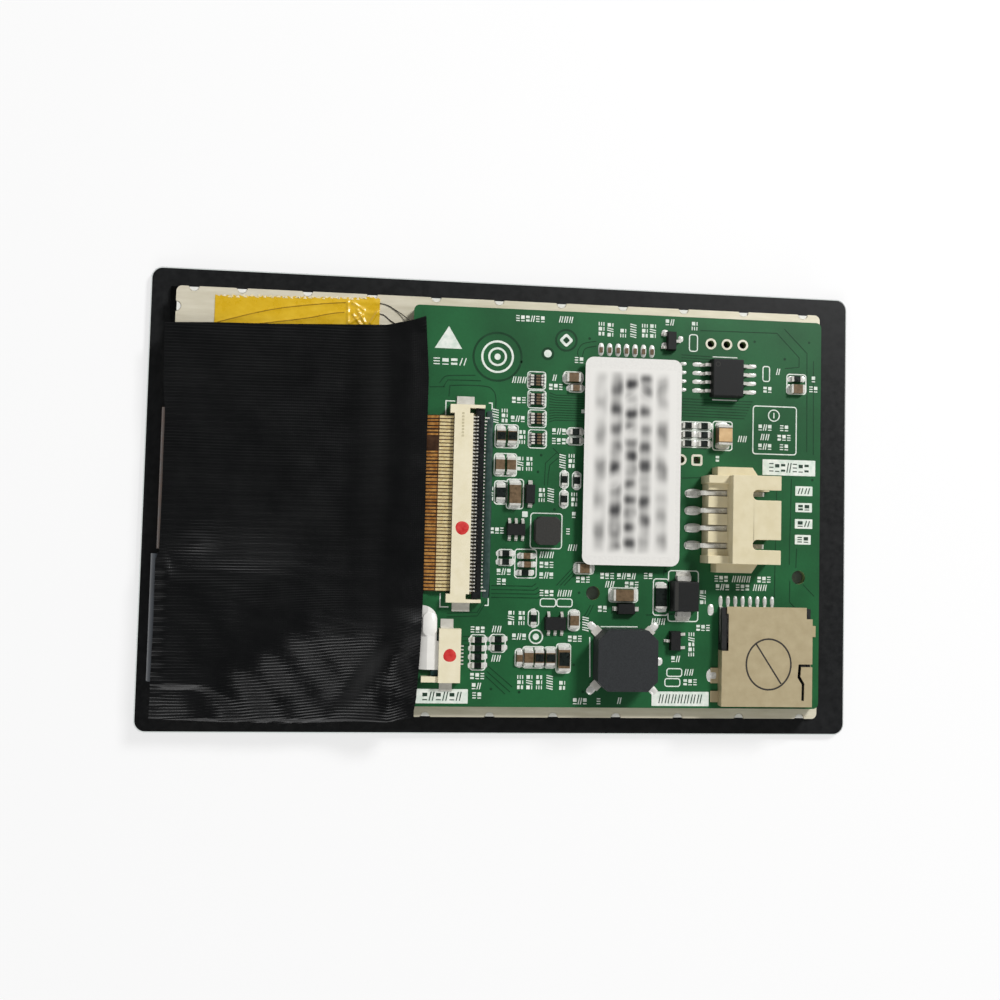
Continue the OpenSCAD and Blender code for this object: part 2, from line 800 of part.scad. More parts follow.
// Straight stretches of the two leads under the polyimide tape
lead_runs = [
    [[film_tape_left - 0.2, film_tape_top - 4], [lead_corner, film_tape_top - 0.75],
     [film_tape_left + film_tape_w + 0.3, film_tape_top - 0.75]],
    [[film_tape_left - 0.2, film_tape_top - 4.75], [lead_corner, film_tape_top - 2.25],
     [film_tape_left + film_tape_w + 0.3, film_tape_top - 2.4]]
];

// Arc over a lead, from its high side to its low side, standing on a level
function lead_arc(y, r, level) =
    let (start = asin((level - lead_z) / r), steps = 8)
    [for (k = [0 : steps]) let (a = start + (180 - 2 * start) * k / steps)
        [y + r * cos(a), lead_z + r * sin(a)]];

function turned(list) = [for (k = [len(list) - 1 : -1 : 0]) list[k]];

// Outline of the polyimide tape across its length, with a ridge over each lead
function tape_outline(high_lead, low_lead) =
    let (
        low = film_tape_top - film_tape_h,
        bore = lead_r + lead_play,
        face = tray_back + film_tape_t,
        ridge = bore + film_tape_t
    ) concat(
        [[low, tray_back]],
        turned(lead_arc(low_lead, bore, tray_back)),
        turned(lead_arc(high_lead, bore, tray_back)),
        [[film_tape_top, tray_back], [film_tape_top, face]],
        lead_arc(high_lead, ridge, face),
        lead_arc(low_lead, ridge, face),
        [[low, face]]
    );

module polyimide_tape() {
    stations = [film_tape_left, lead_corner, film_tape_left + film_tape_w];
    outlines = [for (k = [0 : 2]) tape_outline(lead_runs[0][k][1], lead_runs[1][k][1])];
    n = len(outlines[0]);
    color(amber) polyhedron(
        [for (k = [0 : 2], p = outlines[k]) [stations[k], p[0], p[1]]],
        concat(
            [for (k = [0, 1], i = [0 : n - 1])
                [k * n + i, (k + 1) * n + i, (k + 1) * n + (i + 1) % n, k * n + (i + 1) % n]],
            [for (i = [0 : n / 2 - 2]) [i, i + 1, n - 2 - i, n - 1 - i]],
            [for (i = [0 : n / 2 - 2]) [2 * n + i + 1, 2 * n + i, 3 * n - 1 - i, 3 * n - 2 - i]]
        )
    );
}

module backlight_leads() {
    pad_z = tray_back + film_t + lead_r + 0.02;
    pad_x = tail_x - tail_len + 0.6;
    edge = board_left - 0.45;
    climb = board_top + lead_r + 0.05;
    color(black_print) for (k = [0, 1]) {
        run = lead_runs[k];
        up = film_tape_top - 2.8 - 0.9 * k;
        tube([
            [pad_x + k, tail_y + 0.7 - 1.4 * k, pad_z],
            [pad_x + 0.4 + 1.3 * k, tail_y + 2.5 - k, pad_z],
            [run[0][0] - 0.8 + 0.3 * k, run[0][1] - 0.3, lead_z],
            [run[0][0], run[0][1], lead_z],
            [run[1][0], run[1][1], lead_z],
            [run[2][0], run[2][1], lead_z],
            [run[2][0] + 1.6, run[2][1] - 0.5, lead_z],
            [edge - 0.7, up + 0.25, lead_z + 0.15],
            [edge - 0.15, up + 0.1, lead_z + 0.7],
            [edge, up, (lead_z + climb) / 2],
            [edge + 0.05, up - 0.05, climb - 0.15],
            [edge + 0.45, up - 0.1, climb + 0.15],
            [edge + 1.5, up - 0.2, climb]
        ], lead_r, lead_sides);
    }
}

module cloth_tape() {
    flat_z = tray_back + cloth_lift + cloth_t / 2;
    board_level = board_top + cloth_board_lift + cloth_t / 2;
    color(cloth_black) translate([0, (cloth_low + cloth_high) / 2, 0]) along_y(cloth_high - cloth_low)
        strip([
            [cloth_left, flat_z - cloth_droop], [tray_left, flat_z], [ramp_x - 0.5, flat_z],
            [ramp_x + ramp_len - 0.5, board_level], [cloth_right, board_level]
        ], cloth_t);
}

module board_tape() {
    band_h = 7;
    inset = 0.8;
    color(black_print) for (s = [-1, 1])
        translate([board_x, board_y + s * (board_h / 2 - inset - band_h / 2), tray_back])
            slab(board_w - 2 * inset, band_h, pad_t);
}

module circuit_board() {
    color(board_green) translate([board_x, board_y, board_z]) difference() {
        round_slab(board_w, board_h, board_t, board_r);
        for (p = tooling_places) translate([p[0], p[1], -over])
            cylinder(r = tooling_r, h = board_t + 2 * over);
        for (p = plated_places) translate([p[0], p[1], -over]) cylinder(r = plated_r, h = board_t + 2 * over);
    }
}

module chip_body(place, size, t) {
    on_board(place) translate([0, 0, chip_stand]) moulded_body(size[0], size[1], t - chip_stand, chip_draft);
}

module controller_chip() {
    color(chip_black) chip_body(controller_at, [controller_side, controller_side], chip_t);
}

module frame_memory_chip() {
    color(chip_black) chip_body(memory_at, memory_size, chip_t);
}

module flash_chip() {
    color(chip_black) chip_body(flash_at, flash_size, flash_t);
}

module small_chips() {
    color(chip_black) for (c = small_chip_places) chip_body(c[0], c[1], small_chip_t);
}

// Leads round a chip: counts on the left, right, low and high sides
module leads_round(place, size, counts, pitch, reach, rise, width) {
    turns = [180, 0, -90, 90];
    on_board(place) for (k = [0 : 3])
        if (counts[k] > 0)
            rotate(turns[k]) translate([(k < 2 ? size[0] : size[1]) / 2, 0, 0])
                lead_row(counts[k], counts[k] == 2 ? 2 * pitch : pitch, reach, rise, width);
}

module chip_leads() {
    color(tin) {
        leads_round(controller_at, [controller_side, controller_side], [20, 20, 20, 20], 0.5, 0.9, 0.6, 0.2);
        leads_round(memory_at, memory_size, [12, 12, 0, 0], 0.8, 0.8, 0.6, 0.3);
        leads_round(flash_at, flash_size, [4, 4, 0, 0], 1.27, 1.5, 0.8, 0.45);
        for (c = small_chip_places) leads_round(c[0], c[1], c[2], 0.95, 0.75, 0.5, 0.4);
    }
}

module label() {
    color(white_plastic) on_board(label_at) translate([0, 0, chip_t])
        round_slab(label_w, label_h, label_t, label_r);
}

module inductor() {
    color(chip_black) on_board(inductor_at) linear_extrude(inductor_t)
        cut_outline(inductor_w, inductor_h, inductor_cut);
}

module power_diode() {
    color(chip_black) chip_body(power_diode_at, power_diode_size, power_diode_t);
}

module signal_diodes() {
    color(chip_black) for (d = signal_diode_places)
        on_board(d[0]) rotate(d[2]) translate([0, 0, chip_stand])
            moulded_body(d[1][0], d[1][1], signal_diode_t - chip_stand, chip_draft);
}

module diode_leads() {
    color(tin) {
        on_board(power_diode_at) for (turn = [90, -90])
            rotate(turn) translate([power_diode_size[1] / 2, 0, 0]) gull_lead(1.3, 1, 2);
        for (d = signal_diode_places, turn = [90, -90])
            on_board(d[0]) rotate(d[2] + turn) translate([d[1][1] / 2, 0, 0]) gull_lead(0.6, 0.5, 0.6);
    }
}

// Ceramic body of a chip part between its metal ends
module chip_core(part, t) {
    on_board(part[0]) rotate(part[1]) slab(part[2][0] - 2 * chip_end, part[2][1], t);
}

// The two metal ends of a chip part
module chip_caps(part, t) {
    on_board(part[0]) rotate(part[1]) for (s = [-1, 1])
        translate([s * (part[2][0] - chip_end) / 2, 0, 0]) slab(chip_end, part[2][1], t);
}

module chip_resistors() {
    color(chip_black) for (part = resistor_places) chip_core(part, part[2][2]);
}

module resistor_networks() {
    color(chip_black) for (p = network_places) on_board(p) slab(network_size[0], network_size[1], network_t);
}

module chip_capacitors() {
    color(tan_ceramic) for (part = capacitor_places) chip_core(part, part[2][3]);
}

module chip_ends() {
    color(tin) {
        for (part = resistor_places) chip_caps(part, part[2][2]);
        for (part = capacitor_places) chip_caps(part, part[2][3]);
    }
}

// Rectangle with its corners cut off
module cut_outline(w, h, cut) {
    x = w / 2;
    y = h / 2;
    polygon([
        [x, y - cut], [x - cut, y], [cut - x, y], [-x, y - cut],
        [-x, cut - y], [cut - x, -y], [x - cut, -y], [x, cut - y]
    ]);
}

module buzzer() {
    hole_r = 0.6;
    color(chip_black) on_board(buzzer_at) difference() {
        linear_extrude(buzzer_t) cut_outline(buzzer_side, buzzer_side, buzzer_cut);
        translate([buzzer_side / 2 - 1, 0, buzzer_t - 1.2]) rotate([0, 90, 0]) cylinder(r = hole_r, h = 2);
    }
}

module buzzer_tabs() {
    reach = buzzer_side / sqrt(2) - buzzer_cut / sqrt(2);
    color(tin) on_board(buzzer_at) for (turn = [45 : 90 : 315])
        rotate(turn) translate([reach, -0.7, 0]) cube([0.9, 1.4, buzzer_tab_t]);
}

module at_display_connector() {
    on_board([zif_x, zif_y]) children();
}

module display_connector_housing() {
    color(cream) at_display_connector() {
        translate([zif_front, -zif_row / 2, 0]) cube([zif_rear - zif_front, zif_row, zif_floor]);
        translate([zif_front, -zif_row / 2, zif_h - zif_roof]) cube([zif_roof_w, zif_row, zif_roof]);
        for (s = [-1, 1]) difference() {
            union() {
                translate([zif_front - zif_ear, s * (zif_row + zif_end) / 2 - zif_end / 2, 0])
                    cube([zif_ear + zif_block, zif_end, zif_h]);
                translate([zif_front, s * (latch_room + zif_arm) / 2 - zif_arm / 2, 0])
                    cube([zif_rear - zif_front, zif_arm, zif_h]);
            }
            translate([latch_x, s * latch_room / 2, latch_z]) rotate([90, 0, 0])
                cylinder(r = latch_pin_r + slide_fit, h = 2 * (latch_pin_len + fit), center = true);
        }
    }
}

module display_connector_latch() {
    color(chip_black) at_display_connector() translate([latch_x, 0, latch_z]) rotate([0, -latch_angle, 0])
        difference() {
            union() {
                rotate([90, 0, 0]) cylinder(r = latch_r, h = latch_len, center = true);
                translate([0, -latch_len / 2, -latch_r]) cube([latch_flap, latch_len, 2 * latch_r]);
                rotate([90, 0, 0])
                    cylinder(r = latch_pin_r, h = latch_room + 2 * latch_pin_len, center = true);
            }
            for (i = [0 : lcd_pins - 1])
                translate([0, (i - (lcd_pins - 1) / 2) * lcd_pitch, 0])
                    cube([2 * latch_slot_r, contact_w + 2 * slide_fit, 2 * latch_slot_r], center = true);
        }
}

module display_connector_contacts() {
    beam = zif_floor + contact_t;
    tip = latch_z + 0.2;
    color(tin) at_display_connector() for (i = [0 : lcd_pins - 1])
        translate([0, (i - (lcd_pins - 1) / 2) * lcd_pitch, 0]) along_y(contact_w) polygon([
            [fork_x - 1.7, zif_floor], [zif_rear, zif_floor], [zif_rear, 0],
            [zif_rear + foot_len, 0], [zif_rear + foot_len, contact_t],
            [zif_rear + contact_t, contact_t], [zif_rear + contact_t, beam],
            [fork_x + fork_w, beam], [fork_x + fork_w, fork_z],
            [latch_x + 0.2, fork_z], [latch_x + 0.2, tip], [latch_x, tip],
            [latch_x - 0.1, fork_z + contact_t],
            [fork_x - 1.5, fork_z + contact_t], [fork_x - 1.5, fork_z],
            [fork_x, fork_z], [fork_x, beam], [fork_x - 1.7, beam]
        ]);
}

module at_touch_connector() {
    on_board([touch_x, touch_y]) children();
}

module touch_connector_housing() {
    slot_w = touch_tail_w + 2 * fit;
    ear_room = slider_ear_w + 2 * fit;
    color(cream) at_touch_connector() difference() {
        union() {
            slab(touch_body_w, touch_body_h, touch_body_t);
            translate([touch_front - touch_arm_len, -touch_body_h / 2, 0])
                cube([touch_arm_len + fit, touch_arm_w, touch_arm_t]);
        }
        translate([touch_front - over, -slot_w / 2, touch_floor])
            cube([touch_slot_depth + over, slot_w, touch_flex_z + flex_t + fit - touch_floor]);
        for (s = [-1, 1])
            translate([touch_front - over, s * (slider_len - slider_ear_w) / 2 - ear_room / 2,
                slider_bar_z - fit])
                cube([slider_ear_len + fit + over, ear_room, slider_bar_t + 2 * fit]);
        contact_room();
    }
}

// Room for the touch connector's contacts, behind its slot
module contact_room() {
    translate([touch_front + touch_slot_depth - fit, -touch_tail_w / 2, 0])
        translate([0, 0, -over]) cube([touch_body_w, touch_tail_w, over + touch_flex_z + flex_t + fit]);
}

module touch_connector_slider() {
    bar_x = slider_bar_x;
    color(chip_black) at_touch_connector() {
        translate([bar_x, -slider_len / 2, slider_bar_z]) cube([slider_bar_w, slider_len, slider_bar_t]);
        translate([bar_x + slider_bar_w - fit, -touch_tail_w / 2 + fit, tongue_z])
            cube([touch_slot_depth - 0.5, touch_tail_w - 2 * fit, tongue_t]);
        for (s = [-1, 1])
            translate([bar_x + slider_bar_w - fit, s * (slider_len - slider_ear_w) / 2 - slider_ear_w / 2,
                slider_bar_z])
                cube([slider_ear_len + fit, slider_ear_w, slider_bar_t]);
    }
}

module touch_connector_contacts() {
    back = touch_body_w / 2;
    inner = touch_front + touch_slot_depth;
    high = touch_flex_z + flex_t;
    color(tin) at_touch_connector() for (i = [0 : touch_pins - 1])
        translate([0, (i - (touch_pins - 1) / 2) * touch_pitch, 0]) along_y(contact_w) polygon([
            [inner, 0], [back + 0.5, 0], [back + 0.5, contact_t], [inner + contact_t, contact_t],
            [inner + contact_t, high], [inner, high]
        ]);
}

// Solder tab of a connector: a foot on the board and an upright against the connector's end
module nail(w, foot, rise) {
    slab(w, 2 * foot, tab_t);
    translate([0, tab_t / 2 - foot, 0]) slab(w, tab_t, rise);
}

module connector_nails() {
    foot = 0.65;
    zif_nail = [2.5, 0.9];
    zif_nail_x = -0.6;
    touch_nail = [1.8, 0.8];
    touch_nail_x = -0.4;
    color(tin) {
        at_display_connector() for (s = [-1, 1])
            scale([1, s, 1]) translate([zif_nail_x, zif_row / 2 + zif_end + foot, 0])
                nail(zif_nail[0], foot, zif_nail[1]);
        at_touch_connector() for (s = [-1, 1])
            scale([1, s, 1]) translate([touch_nail_x, touch_body_h / 2 + foot, 0])
                nail(touch_nail[0], foot, touch_nail[1]);
    }
}

module at_header() {
    on_board([header_x, header_y]) children();
}

function header_pin_y(i) = (i - (header_pins_n - 1) / 2) * header_pitch;

module header_housing() {
    cavity_w = header_w - 2 * header_wall;
    cavity_h = header_h - header_floor - header_wall;
    hole = pin_side + 2 * slide_fit;
    color(cream) at_header() difference() {
        union() {
            translate([header_back, -header_w / 2, 0]) cube([header_d, header_w, header_h]);
            translate([header_back - header_rear_d, -header_w / 2 + lug_w, 0])
                cube([header_rear_d, header_w - 2 * lug_w, header_rear_h]);
            for (s = [-1, 1]) {
                translate([header_back - header_rear_d - 0.2, s * (header_w - lug_w) / 2 - lug_w / 2, 0])
                    cube([header_rear_d + 0.2, lug_w, lug_h]);
                scale([1, s, 1]) translate([header_mouth - ear_set_back - ear_len, header_w / 2, 0])
                    linear_extrude(ear_h)
                        polygon([[0, 0], [ear_len, 0], [ear_len - ear_lean, ear_w], [0, ear_w]]);
            }
        }
        translate([header_back + header_back_t, -cavity_w / 2, header_floor])
            cube([header_d, cavity_w, cavity_h]);
        for (s = [-1, 1])
            translate([header_mouth - header_slot_len, s * (header_w / 2 - header_slot_in), -over])
            linear_extrude(header_h + 2 * over) {
                translate([header_slot_w / 2, 0]) circle(header_slot_w / 2);
                translate([header_slot_w / 2, -header_slot_w / 2]) square([header_slot_len, header_slot_w]);
            }
        for (i = [0 : header_pins_n - 1]) translate([0, header_pin_y(i), 0]) {
            translate([header_back - over, -hole / 2, header_pin_z - hole / 2])
                cube([header_back_t + 2 * over, hole, hole]);
            translate([header_back - header_rear_d - over, -pin_groove / 2, header_pin_z - hole / 2])
                cube([header_rear_d + over, pin_groove, header_rear_h]);
        }
    }
}

module header_pins() {
    half = pin_side / 2;
    bend = header_back - header_rear_d - 0.25;
    high = header_pin_z + half;
    low = header_pin_z - half;
    color(tin) at_header() for (i = [0 : header_pins_n - 1])
        translate([0, header_pin_y(i), 0]) along_y(pin_side) polygon([
            [header_tip - half, high], [header_tip, header_pin_z], [header_tip - half, low],
            [bend, low], [bend, 0], [bend - pin_foot, 0], [bend - pin_foot, half],
            [bend - pin_side, pin_side], [bend - pin_side, high - half], [bend - half, high]
        ]);
}

module at_card_socket() {
    on_board([socket_x, socket_y]) children();
}

// Sizes of the space inside the shell
socket_in_w = socket_w - 2 * shell_sheet - 2 * slide_fit;
socket_in_t = socket_t - shell_sheet;
channel_x = socket_in_w / 2 - base_wall - slide_fit - slider_w / 2;
card_rear = socket_h / 2 - 0.2;

module card_socket_base() {
    channel_side = channel_x - slider_w / 2 - slide_fit;
    base_front = -socket_h / 2 + 0.5;
    wall_top = socket_in_t - slide_fit;
    bridge = base_floor + card_contact_rise + contact_t + fit;
    side_wall = base_wall + socket_w / 2 - socket_in_w / 2;
    color(chip_black) at_card_socket() {
        translate([-socket_in_w / 2, base_front, 0]) cube([socket_in_w, card_rear - base_front, base_floor]);
        translate([-socket_in_w / 2, card_rear - base_rear, base_floor + contact_gap])
            cube([socket_in_w, base_rear, socket_in_t - base_floor - contact_gap - slide_fit]);
        translate([socket_in_w / 2 - base_wall, base_front, 0])
            cube([base_wall, card_rear - base_front, wall_top]);
        translate([-socket_in_w / 2, base_front, 0]) cube([base_wall, shell_wall_end - base_front, wall_top]);
        translate([-socket_w / 2, shell_wall_end, bridge])
            cube([side_wall, card_rear - shell_wall_end, wall_top - bridge]);
        translate([-socket_w / 2, shell_wall_end, 0])
            cube([side_wall, card_rear - card_contact_arm - 0.3 - shell_wall_end, wall_top]);
        translate([-socket_w / 2, shell_wall_end, 0])
            cube([side_wall, card_rear - shell_wall_end, base_floor]);
        translate([channel_side - base_wall, slider_y + slider_h / 2 + slider_travel + 0.2, 0])
            cube([base_wall, card_rear - slider_y - slider_h / 2 - slider_travel - 0.2, socket_in_t - 0.4]);
    }
}

module card_socket_shell() {
    edge = socket_w / 2;
    tall = socket_t + 2 * over;
    window_len = 5.3;
    roof_gap_w = 0.95;
    corner_w = 0.7;
    step_w = 0.9;
    step_h = 1.65;
    color(shell_colour) at_card_socket() {
        difference() {
            slab(socket_w, socket_h, socket_t);
            translate([0, 0, -over])
                slab(socket_w - 2 * shell_sheet, socket_h + 2 * over, socket_in_t + over);
            translate([-edge - over, shell_wall_end, -over]) cube([over + shell_sheet, socket_h, tall]);
            translate([-edge - over, shell_wall_end, -over]) cube([over + roof_gap_w, window_len, tall]);
            translate([-edge - over, socket_h / 2 - 1, -over]) cube([over + corner_w, 2, tall]);
            translate([edge - step_w, socket_h / 2 - step_h, -over])
                cube([step_w + over, step_h + over, tall]);
            translate([edge, 0, socket_in_t - over]) linear_extrude(2 * over) polygon(tongue_cut);
        }
        for (t = tab_places)
            translate([t[0] * (socket_w / 2 + tab_w / 2 - shell_sheet), t[1], 0]) slab(tab_w, t[2], tab_t);
    }
}

module card_socket_contacts() {
    foot = 1.3;
    arm = card_contact_arm;
    low = base_floor;
    rise = card_contact_rise;
    color(tin) at_card_socket() for (i = [0 : card_contact_n - 1])
        translate([card_contact_x + i * card_contact_pitch, 0, 0]) rotate(90)
            along_y(card_contact_w) polygon([
                [card_rear + foot, 0], [card_rear + foot, contact_t], [card_rear + contact_t, contact_t],
                [card_rear + contact_t, low + contact_t], [card_rear - base_rear - 0.3, low + contact_t],
                [card_rear - arm, low + rise + contact_t], [card_rear - arm, low + rise],
                [card_rear - base_rear - 0.4, low], [card_rear, low], [card_rear, 0]
            ]);
}

module card_slider() {
    low = base_floor + slide_fit;
    high = socket_in_t - 2 * slide_fit;
    color(chip_black) at_card_socket() translate([channel_x, slider_y, low]) {
        slab(slider_w, slider_h, high - low);
        translate([-slider_w / 2 - 0.9, slider_h / 2 - 1.2, 0]) cube([1, 1.2, high - low - 0.2]);
    }
}

module card_spring() {
    from = slider_y + slider_h / 2 + spring_wire;
    to = card_rear - base_rear - spring_wire;
    z = (base_floor + socket_in_t) / 2;
    n = spring_turns * spring_steps;
    color(tin) at_card_socket() tube([
        for (i = [0 : n]) [
            channel_x + spring_r * cos(360 * i / spring_steps),
            from + spring_wire + (to - from - 2 * spring_wire) * i / n,
            z + spring_r * sin(360 * i / spring_steps)
        ]
    ], spring_wire, spring_sides);
}

cover_glass();
border_print();
optical_adhesive();
touch_sensor();
touch_flex();
gasket();
front_polariser();
colour_filter_glass();
transistor_glass();
driver_chip();
rear_polariser();
display_flex();
mould_frame();
prism_sheet_front();
prism_sheet_rear();
diffuser_sheet();
light_guide();
reflector_sheet();
led_strip();
backlight_leds();
back_tray();
polyimide_tape();
backlight_leads();
cloth_tape();
board_tape();
circuit_board();
controller_chip();
frame_memory_chip();
flash_chip();
small_chips();
chip_leads();
label();
inductor();
power_diode();
signal_diodes();
diode_leads();
chip_resistors();
resistor_networks();
chip_capacitors();
chip_ends();
buzzer();
buzzer_tabs();
display_connector_housing();
display_connector_latch();
display_connector_contacts();
touch_connector_housing();
touch_connector_slider();
touch_connector_contacts();
connector_nails();
header_housing();
header_pins();
card_socket_base();
card_socket_shell();
card_socket_contacts();
card_slider();
card_spring();
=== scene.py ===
"""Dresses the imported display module, which lies on its face.

Adds the cloth tape, the flex circuits' tracks, the board's print, the solder and every finish.
"""

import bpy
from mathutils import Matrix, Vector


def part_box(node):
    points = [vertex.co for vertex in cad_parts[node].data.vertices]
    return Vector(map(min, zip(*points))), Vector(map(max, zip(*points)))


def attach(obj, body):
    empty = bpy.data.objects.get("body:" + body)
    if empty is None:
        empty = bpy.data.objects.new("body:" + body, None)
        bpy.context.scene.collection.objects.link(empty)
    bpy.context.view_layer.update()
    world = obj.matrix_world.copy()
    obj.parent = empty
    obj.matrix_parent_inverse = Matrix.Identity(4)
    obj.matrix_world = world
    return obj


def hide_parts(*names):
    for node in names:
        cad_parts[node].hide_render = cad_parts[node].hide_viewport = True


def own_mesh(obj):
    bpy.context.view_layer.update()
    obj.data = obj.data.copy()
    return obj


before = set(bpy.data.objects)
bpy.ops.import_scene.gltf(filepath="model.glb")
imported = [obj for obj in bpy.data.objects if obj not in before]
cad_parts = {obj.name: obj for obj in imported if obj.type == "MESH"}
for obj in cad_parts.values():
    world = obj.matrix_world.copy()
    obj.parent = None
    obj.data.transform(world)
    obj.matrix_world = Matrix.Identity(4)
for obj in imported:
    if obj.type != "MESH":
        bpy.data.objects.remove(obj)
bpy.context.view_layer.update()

import math

import bpy
import numpy as np
from bpy.props import FloatProperty, FloatVectorProperty, IntProperty, PointerProperty
from mathutils import Matrix

bl_info = {
    "name": "Display Module Dressing",
    "version": (1, 0, 0),
    "blender": (4, 5, 0),
    "location": "3D View > Sidebar > Display",
    "description": "Builds the soft, printed and soldered pieces of a display module on its packed solids",
    "category": "Object",
}

MM = 0.001
WHITE = (1.0, 1.0, 1.0, 1.0)
# A wave texture of scale 1 has one band in this length
WAVE_BAND = 0.314
# The finishes by name, filled by the step that mixes them
FINISH = {}

# The camera, fitted to marked points of the picture: lens in millimetres, place in metres, axes as rows
CAMERA_LENS = 42.284
CAMERA_SHIFT = (-0.016, -0.024)
CAMERA_PLACE = (-0.019093, -0.005183, 0.171991)
CAMERA_AXES = ((0.9925, -0.02957, -0.1186), (0.02303, 0.99816, -0.05614), (0.12004, 0.05299, 0.99135))
# Places of the lamps, in metres
KEY_LAMP_PLACE = (0.3, 0.34, 0.42)
FRONT_LAMP_PLACE = (-0.05, -0.5, 0.32)

# Heights of the surfaces that pieces lie on, in millimetres from the bench
BOARD_TOP = 6.15
TRAY_BACK = 4.35
ROOF_TOP = 7.75
LABEL_TOP = 7.65
SHELL_TOP = 8.05
FLASH_TOP = 7.9
DIODE_TOP = 8.3

# Length and width of each chip size, and the height that its solder reaches for, in millimetres
CHIP_TYPES = {"0603": (1.6, 0.8, 0.45), "0805": (2.0, 1.25, 0.6), "1206": (3.2, 1.6, 0.7), "tan": (2.8, 2.0, 1.2)}
# Places on the board in millimetres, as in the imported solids; a chip also has its turn in degrees
CHIPS = {
    "0603": [
        (-4.1, -19.0, 0), (-4.1, -20.2, 0), (-4.1, -21.4, 0), (-4.1, -22.6, 0), (-1.3, -18.9, 0), (-1.3, -20.1, 0),
        (9.2, 10.8, 0), (9.2, 9.5, 0), (7.7, 3.9, 90), (9.5, 3.8, 90), (7.7, 1.1, 90), (-0.5, -6.8, 0),
        (-0.5, -8.0, 0), (2.3, -9.5, 0), (3.7, -15.9, 90), (25.7, 12.3, 0), (28.1, 12.3, 0), (25.7, 11.0, 0),
        (28.1, 11.0, 0), (25.7, 9.7, 0), (28.1, 9.7, 0), (42.0, 19.7, 0), (9.1, 17.1, 0), (2.5, -7.1, 0),
        (2.6, -8.3, 0), (1.8, -21.5, 90),
    ],
    "0805": [
        (-1.4, 1.8, 90), (-1.55, 9.85, 90), (0.05, 9.85, 90), (-1.6, 5.75, 90), (0.0, 5.75, 90), (8.7, 18.6, 0),
        (10.8, -8.7, 0), (9.5, -16.1, 90), (3.1, -21.4, 90), (4.6, -21.4, 90), (6.2, -21.4, 90), (42.0, 18.2, 0),
    ],
    "1206": [
        (22.1, -12.6, 90), (0.6, 1.6, 90), (8.1, -21.5, 90), (16.6, -12.4, 0),
    ],
    "tan": [
        (30.9, 10.95, 90),
    ],
}
NETWORKS = [(3.4, 18.0), (3.5, 15.3), (3.6, 12.5), (3.7, 9.6)]
HEADER_PINS = [-5.05, -2.55, -0.05, 2.45]
LABEL_AT = (17.2, 6.55)
TARGET = (-2.3, 21.2)
DIAMOND = (7.6, 24.0)
DOT = (4.95, 21.95)
TEST_PAD = (4.1, -18.5)
# The two leads' ways, in millimetres, under the amber tape and up to the board
LEADS = [
    [(-42.6, 24.45, 4.42), (-36.25, 26.36, 4.42), (-31.7, 27.35, 4.42), (-25.1, 28.22, 4.42), (-19.2, 28.45, 4.42),
     (-16.7, 27.4, 4.5), (-15.2, 26.3, 4.9), (-14.85, 25.95, 5.5), (-14.6, 25.75, 6.25), (-14.2, 25.55, 6.3),
     (-13.3, 25.3, 6.28)],
    [(-42.6, 23.7, 4.42), (-36.0, 24.75, 4.42), (-29.65, 25.8, 4.42), (-26.0, 26.64, 4.42), (-23.7, 26.91, 4.42),
     (-19.2, 26.94, 4.42), (-17.6, 26.0, 4.42), (-16.0, 25.1, 4.6), (-15.0, 24.9, 5.2), (-14.75, 24.85, 5.9),
     (-14.5, 24.8, 6.3), (-13.3, 24.6, 6.28)],
]


def linear(hex_colour):
    """An sRGB hex colour as linear red, green, blue and alpha."""
    srgb = np.array([int(hex_colour[i:i + 2], 16) for i in (1, 3, 5)]) / 255.0
    low = srgb / 12.92
    high = ((srgb + 0.055) / 1.055) ** 2.4
    return tuple(np.where(srgb <= 0.04045, low, high)) + (1.0,)


# Shapes: each gives points in millimetres and arrays of faces


def smooth_step(low, high, value):
    """0 below low, 1 above high, and 3t^2 - 2t^3 between them."""
    t = np.clip((value - low) / (high - low), 0.0, 1.0)
    return t * t * (3.0 - 2.0 * t)


def hump(off, wide):
    """exp(-t^2), where t is the distance measured in widths."""
    return np.exp(-((off / wide) ** 2))


def bell(x, y, at, wide, tall):
    """A hump along X times a hump along Y."""
    return hump(x - at[0], wide) * hump(y - at[1], tall)


def round_angles(steps):
    """Even angles round a circle, in radians."""
    return np.linspace(0.0, 2 * math.pi, steps, endpoint=False)


def grid_quads(rows, columns):
    """The quads of a grid whose points are counted along its rows."""
    i, j = np.meshgrid(np.arange(rows - 1), np.arange(columns - 1), indexing="ij")
    a = (i * columns + j).ravel()
    return np.stack([a, a + 1, a + columns + 1, a + columns], 1)


def grid_rim(rows, columns):
    """The numbers of a grid's outer points, in order round it."""
    index = np.arange(rows * columns).reshape(rows, columns)
    return np.concatenate([index[0, :-1], index[:-1, -1], index[-1, :0:-1], index[:0:-1, 0]])


def closed_sheet(top, bottom):
    """Two grids of the same size, back to back, with their four edges joined."""
    rows, columns = top.shape[:2]
    count = rows * columns
    rim = grid_rim(rows, columns)
    after = np.roll(rim, -1)
    sides = np.stack([after, rim, rim + count, after + count], 1)
    quads = grid_quads(rows, columns)
    return np.concatenate([top.reshape(-1, 3), bottom.reshape(-1, 3)]), [quads, quads[:, ::-1] + count, sides]


def loft(rings, joined=False, inside_out=False):
    """A skin over rings of points: quads between neighbours, and a cap on each end unless the ends are joined."""
    count, sides = rings.shape[:2]
    i = np.arange(count if joined else count - 1)[:, None] * sides
    k = np.arange(sides)[None]
    j, following = (i + sides) % (count * sides), (k + 1) % sides
    faces = [np.stack([i + k, i + following, j + following, j + k], 2).reshape(-1, 4)]
    if not joined:
        faces += [k[:, ::-1], k + (count - 1) * sides]
    return rings.reshape(-1, 3), [group[:, ::-1] for group in faces] if inside_out else faces


def at_height(outline, z):
    """Plan points at one height."""
    return np.column_stack([outline, np.full(len(outline), z)])


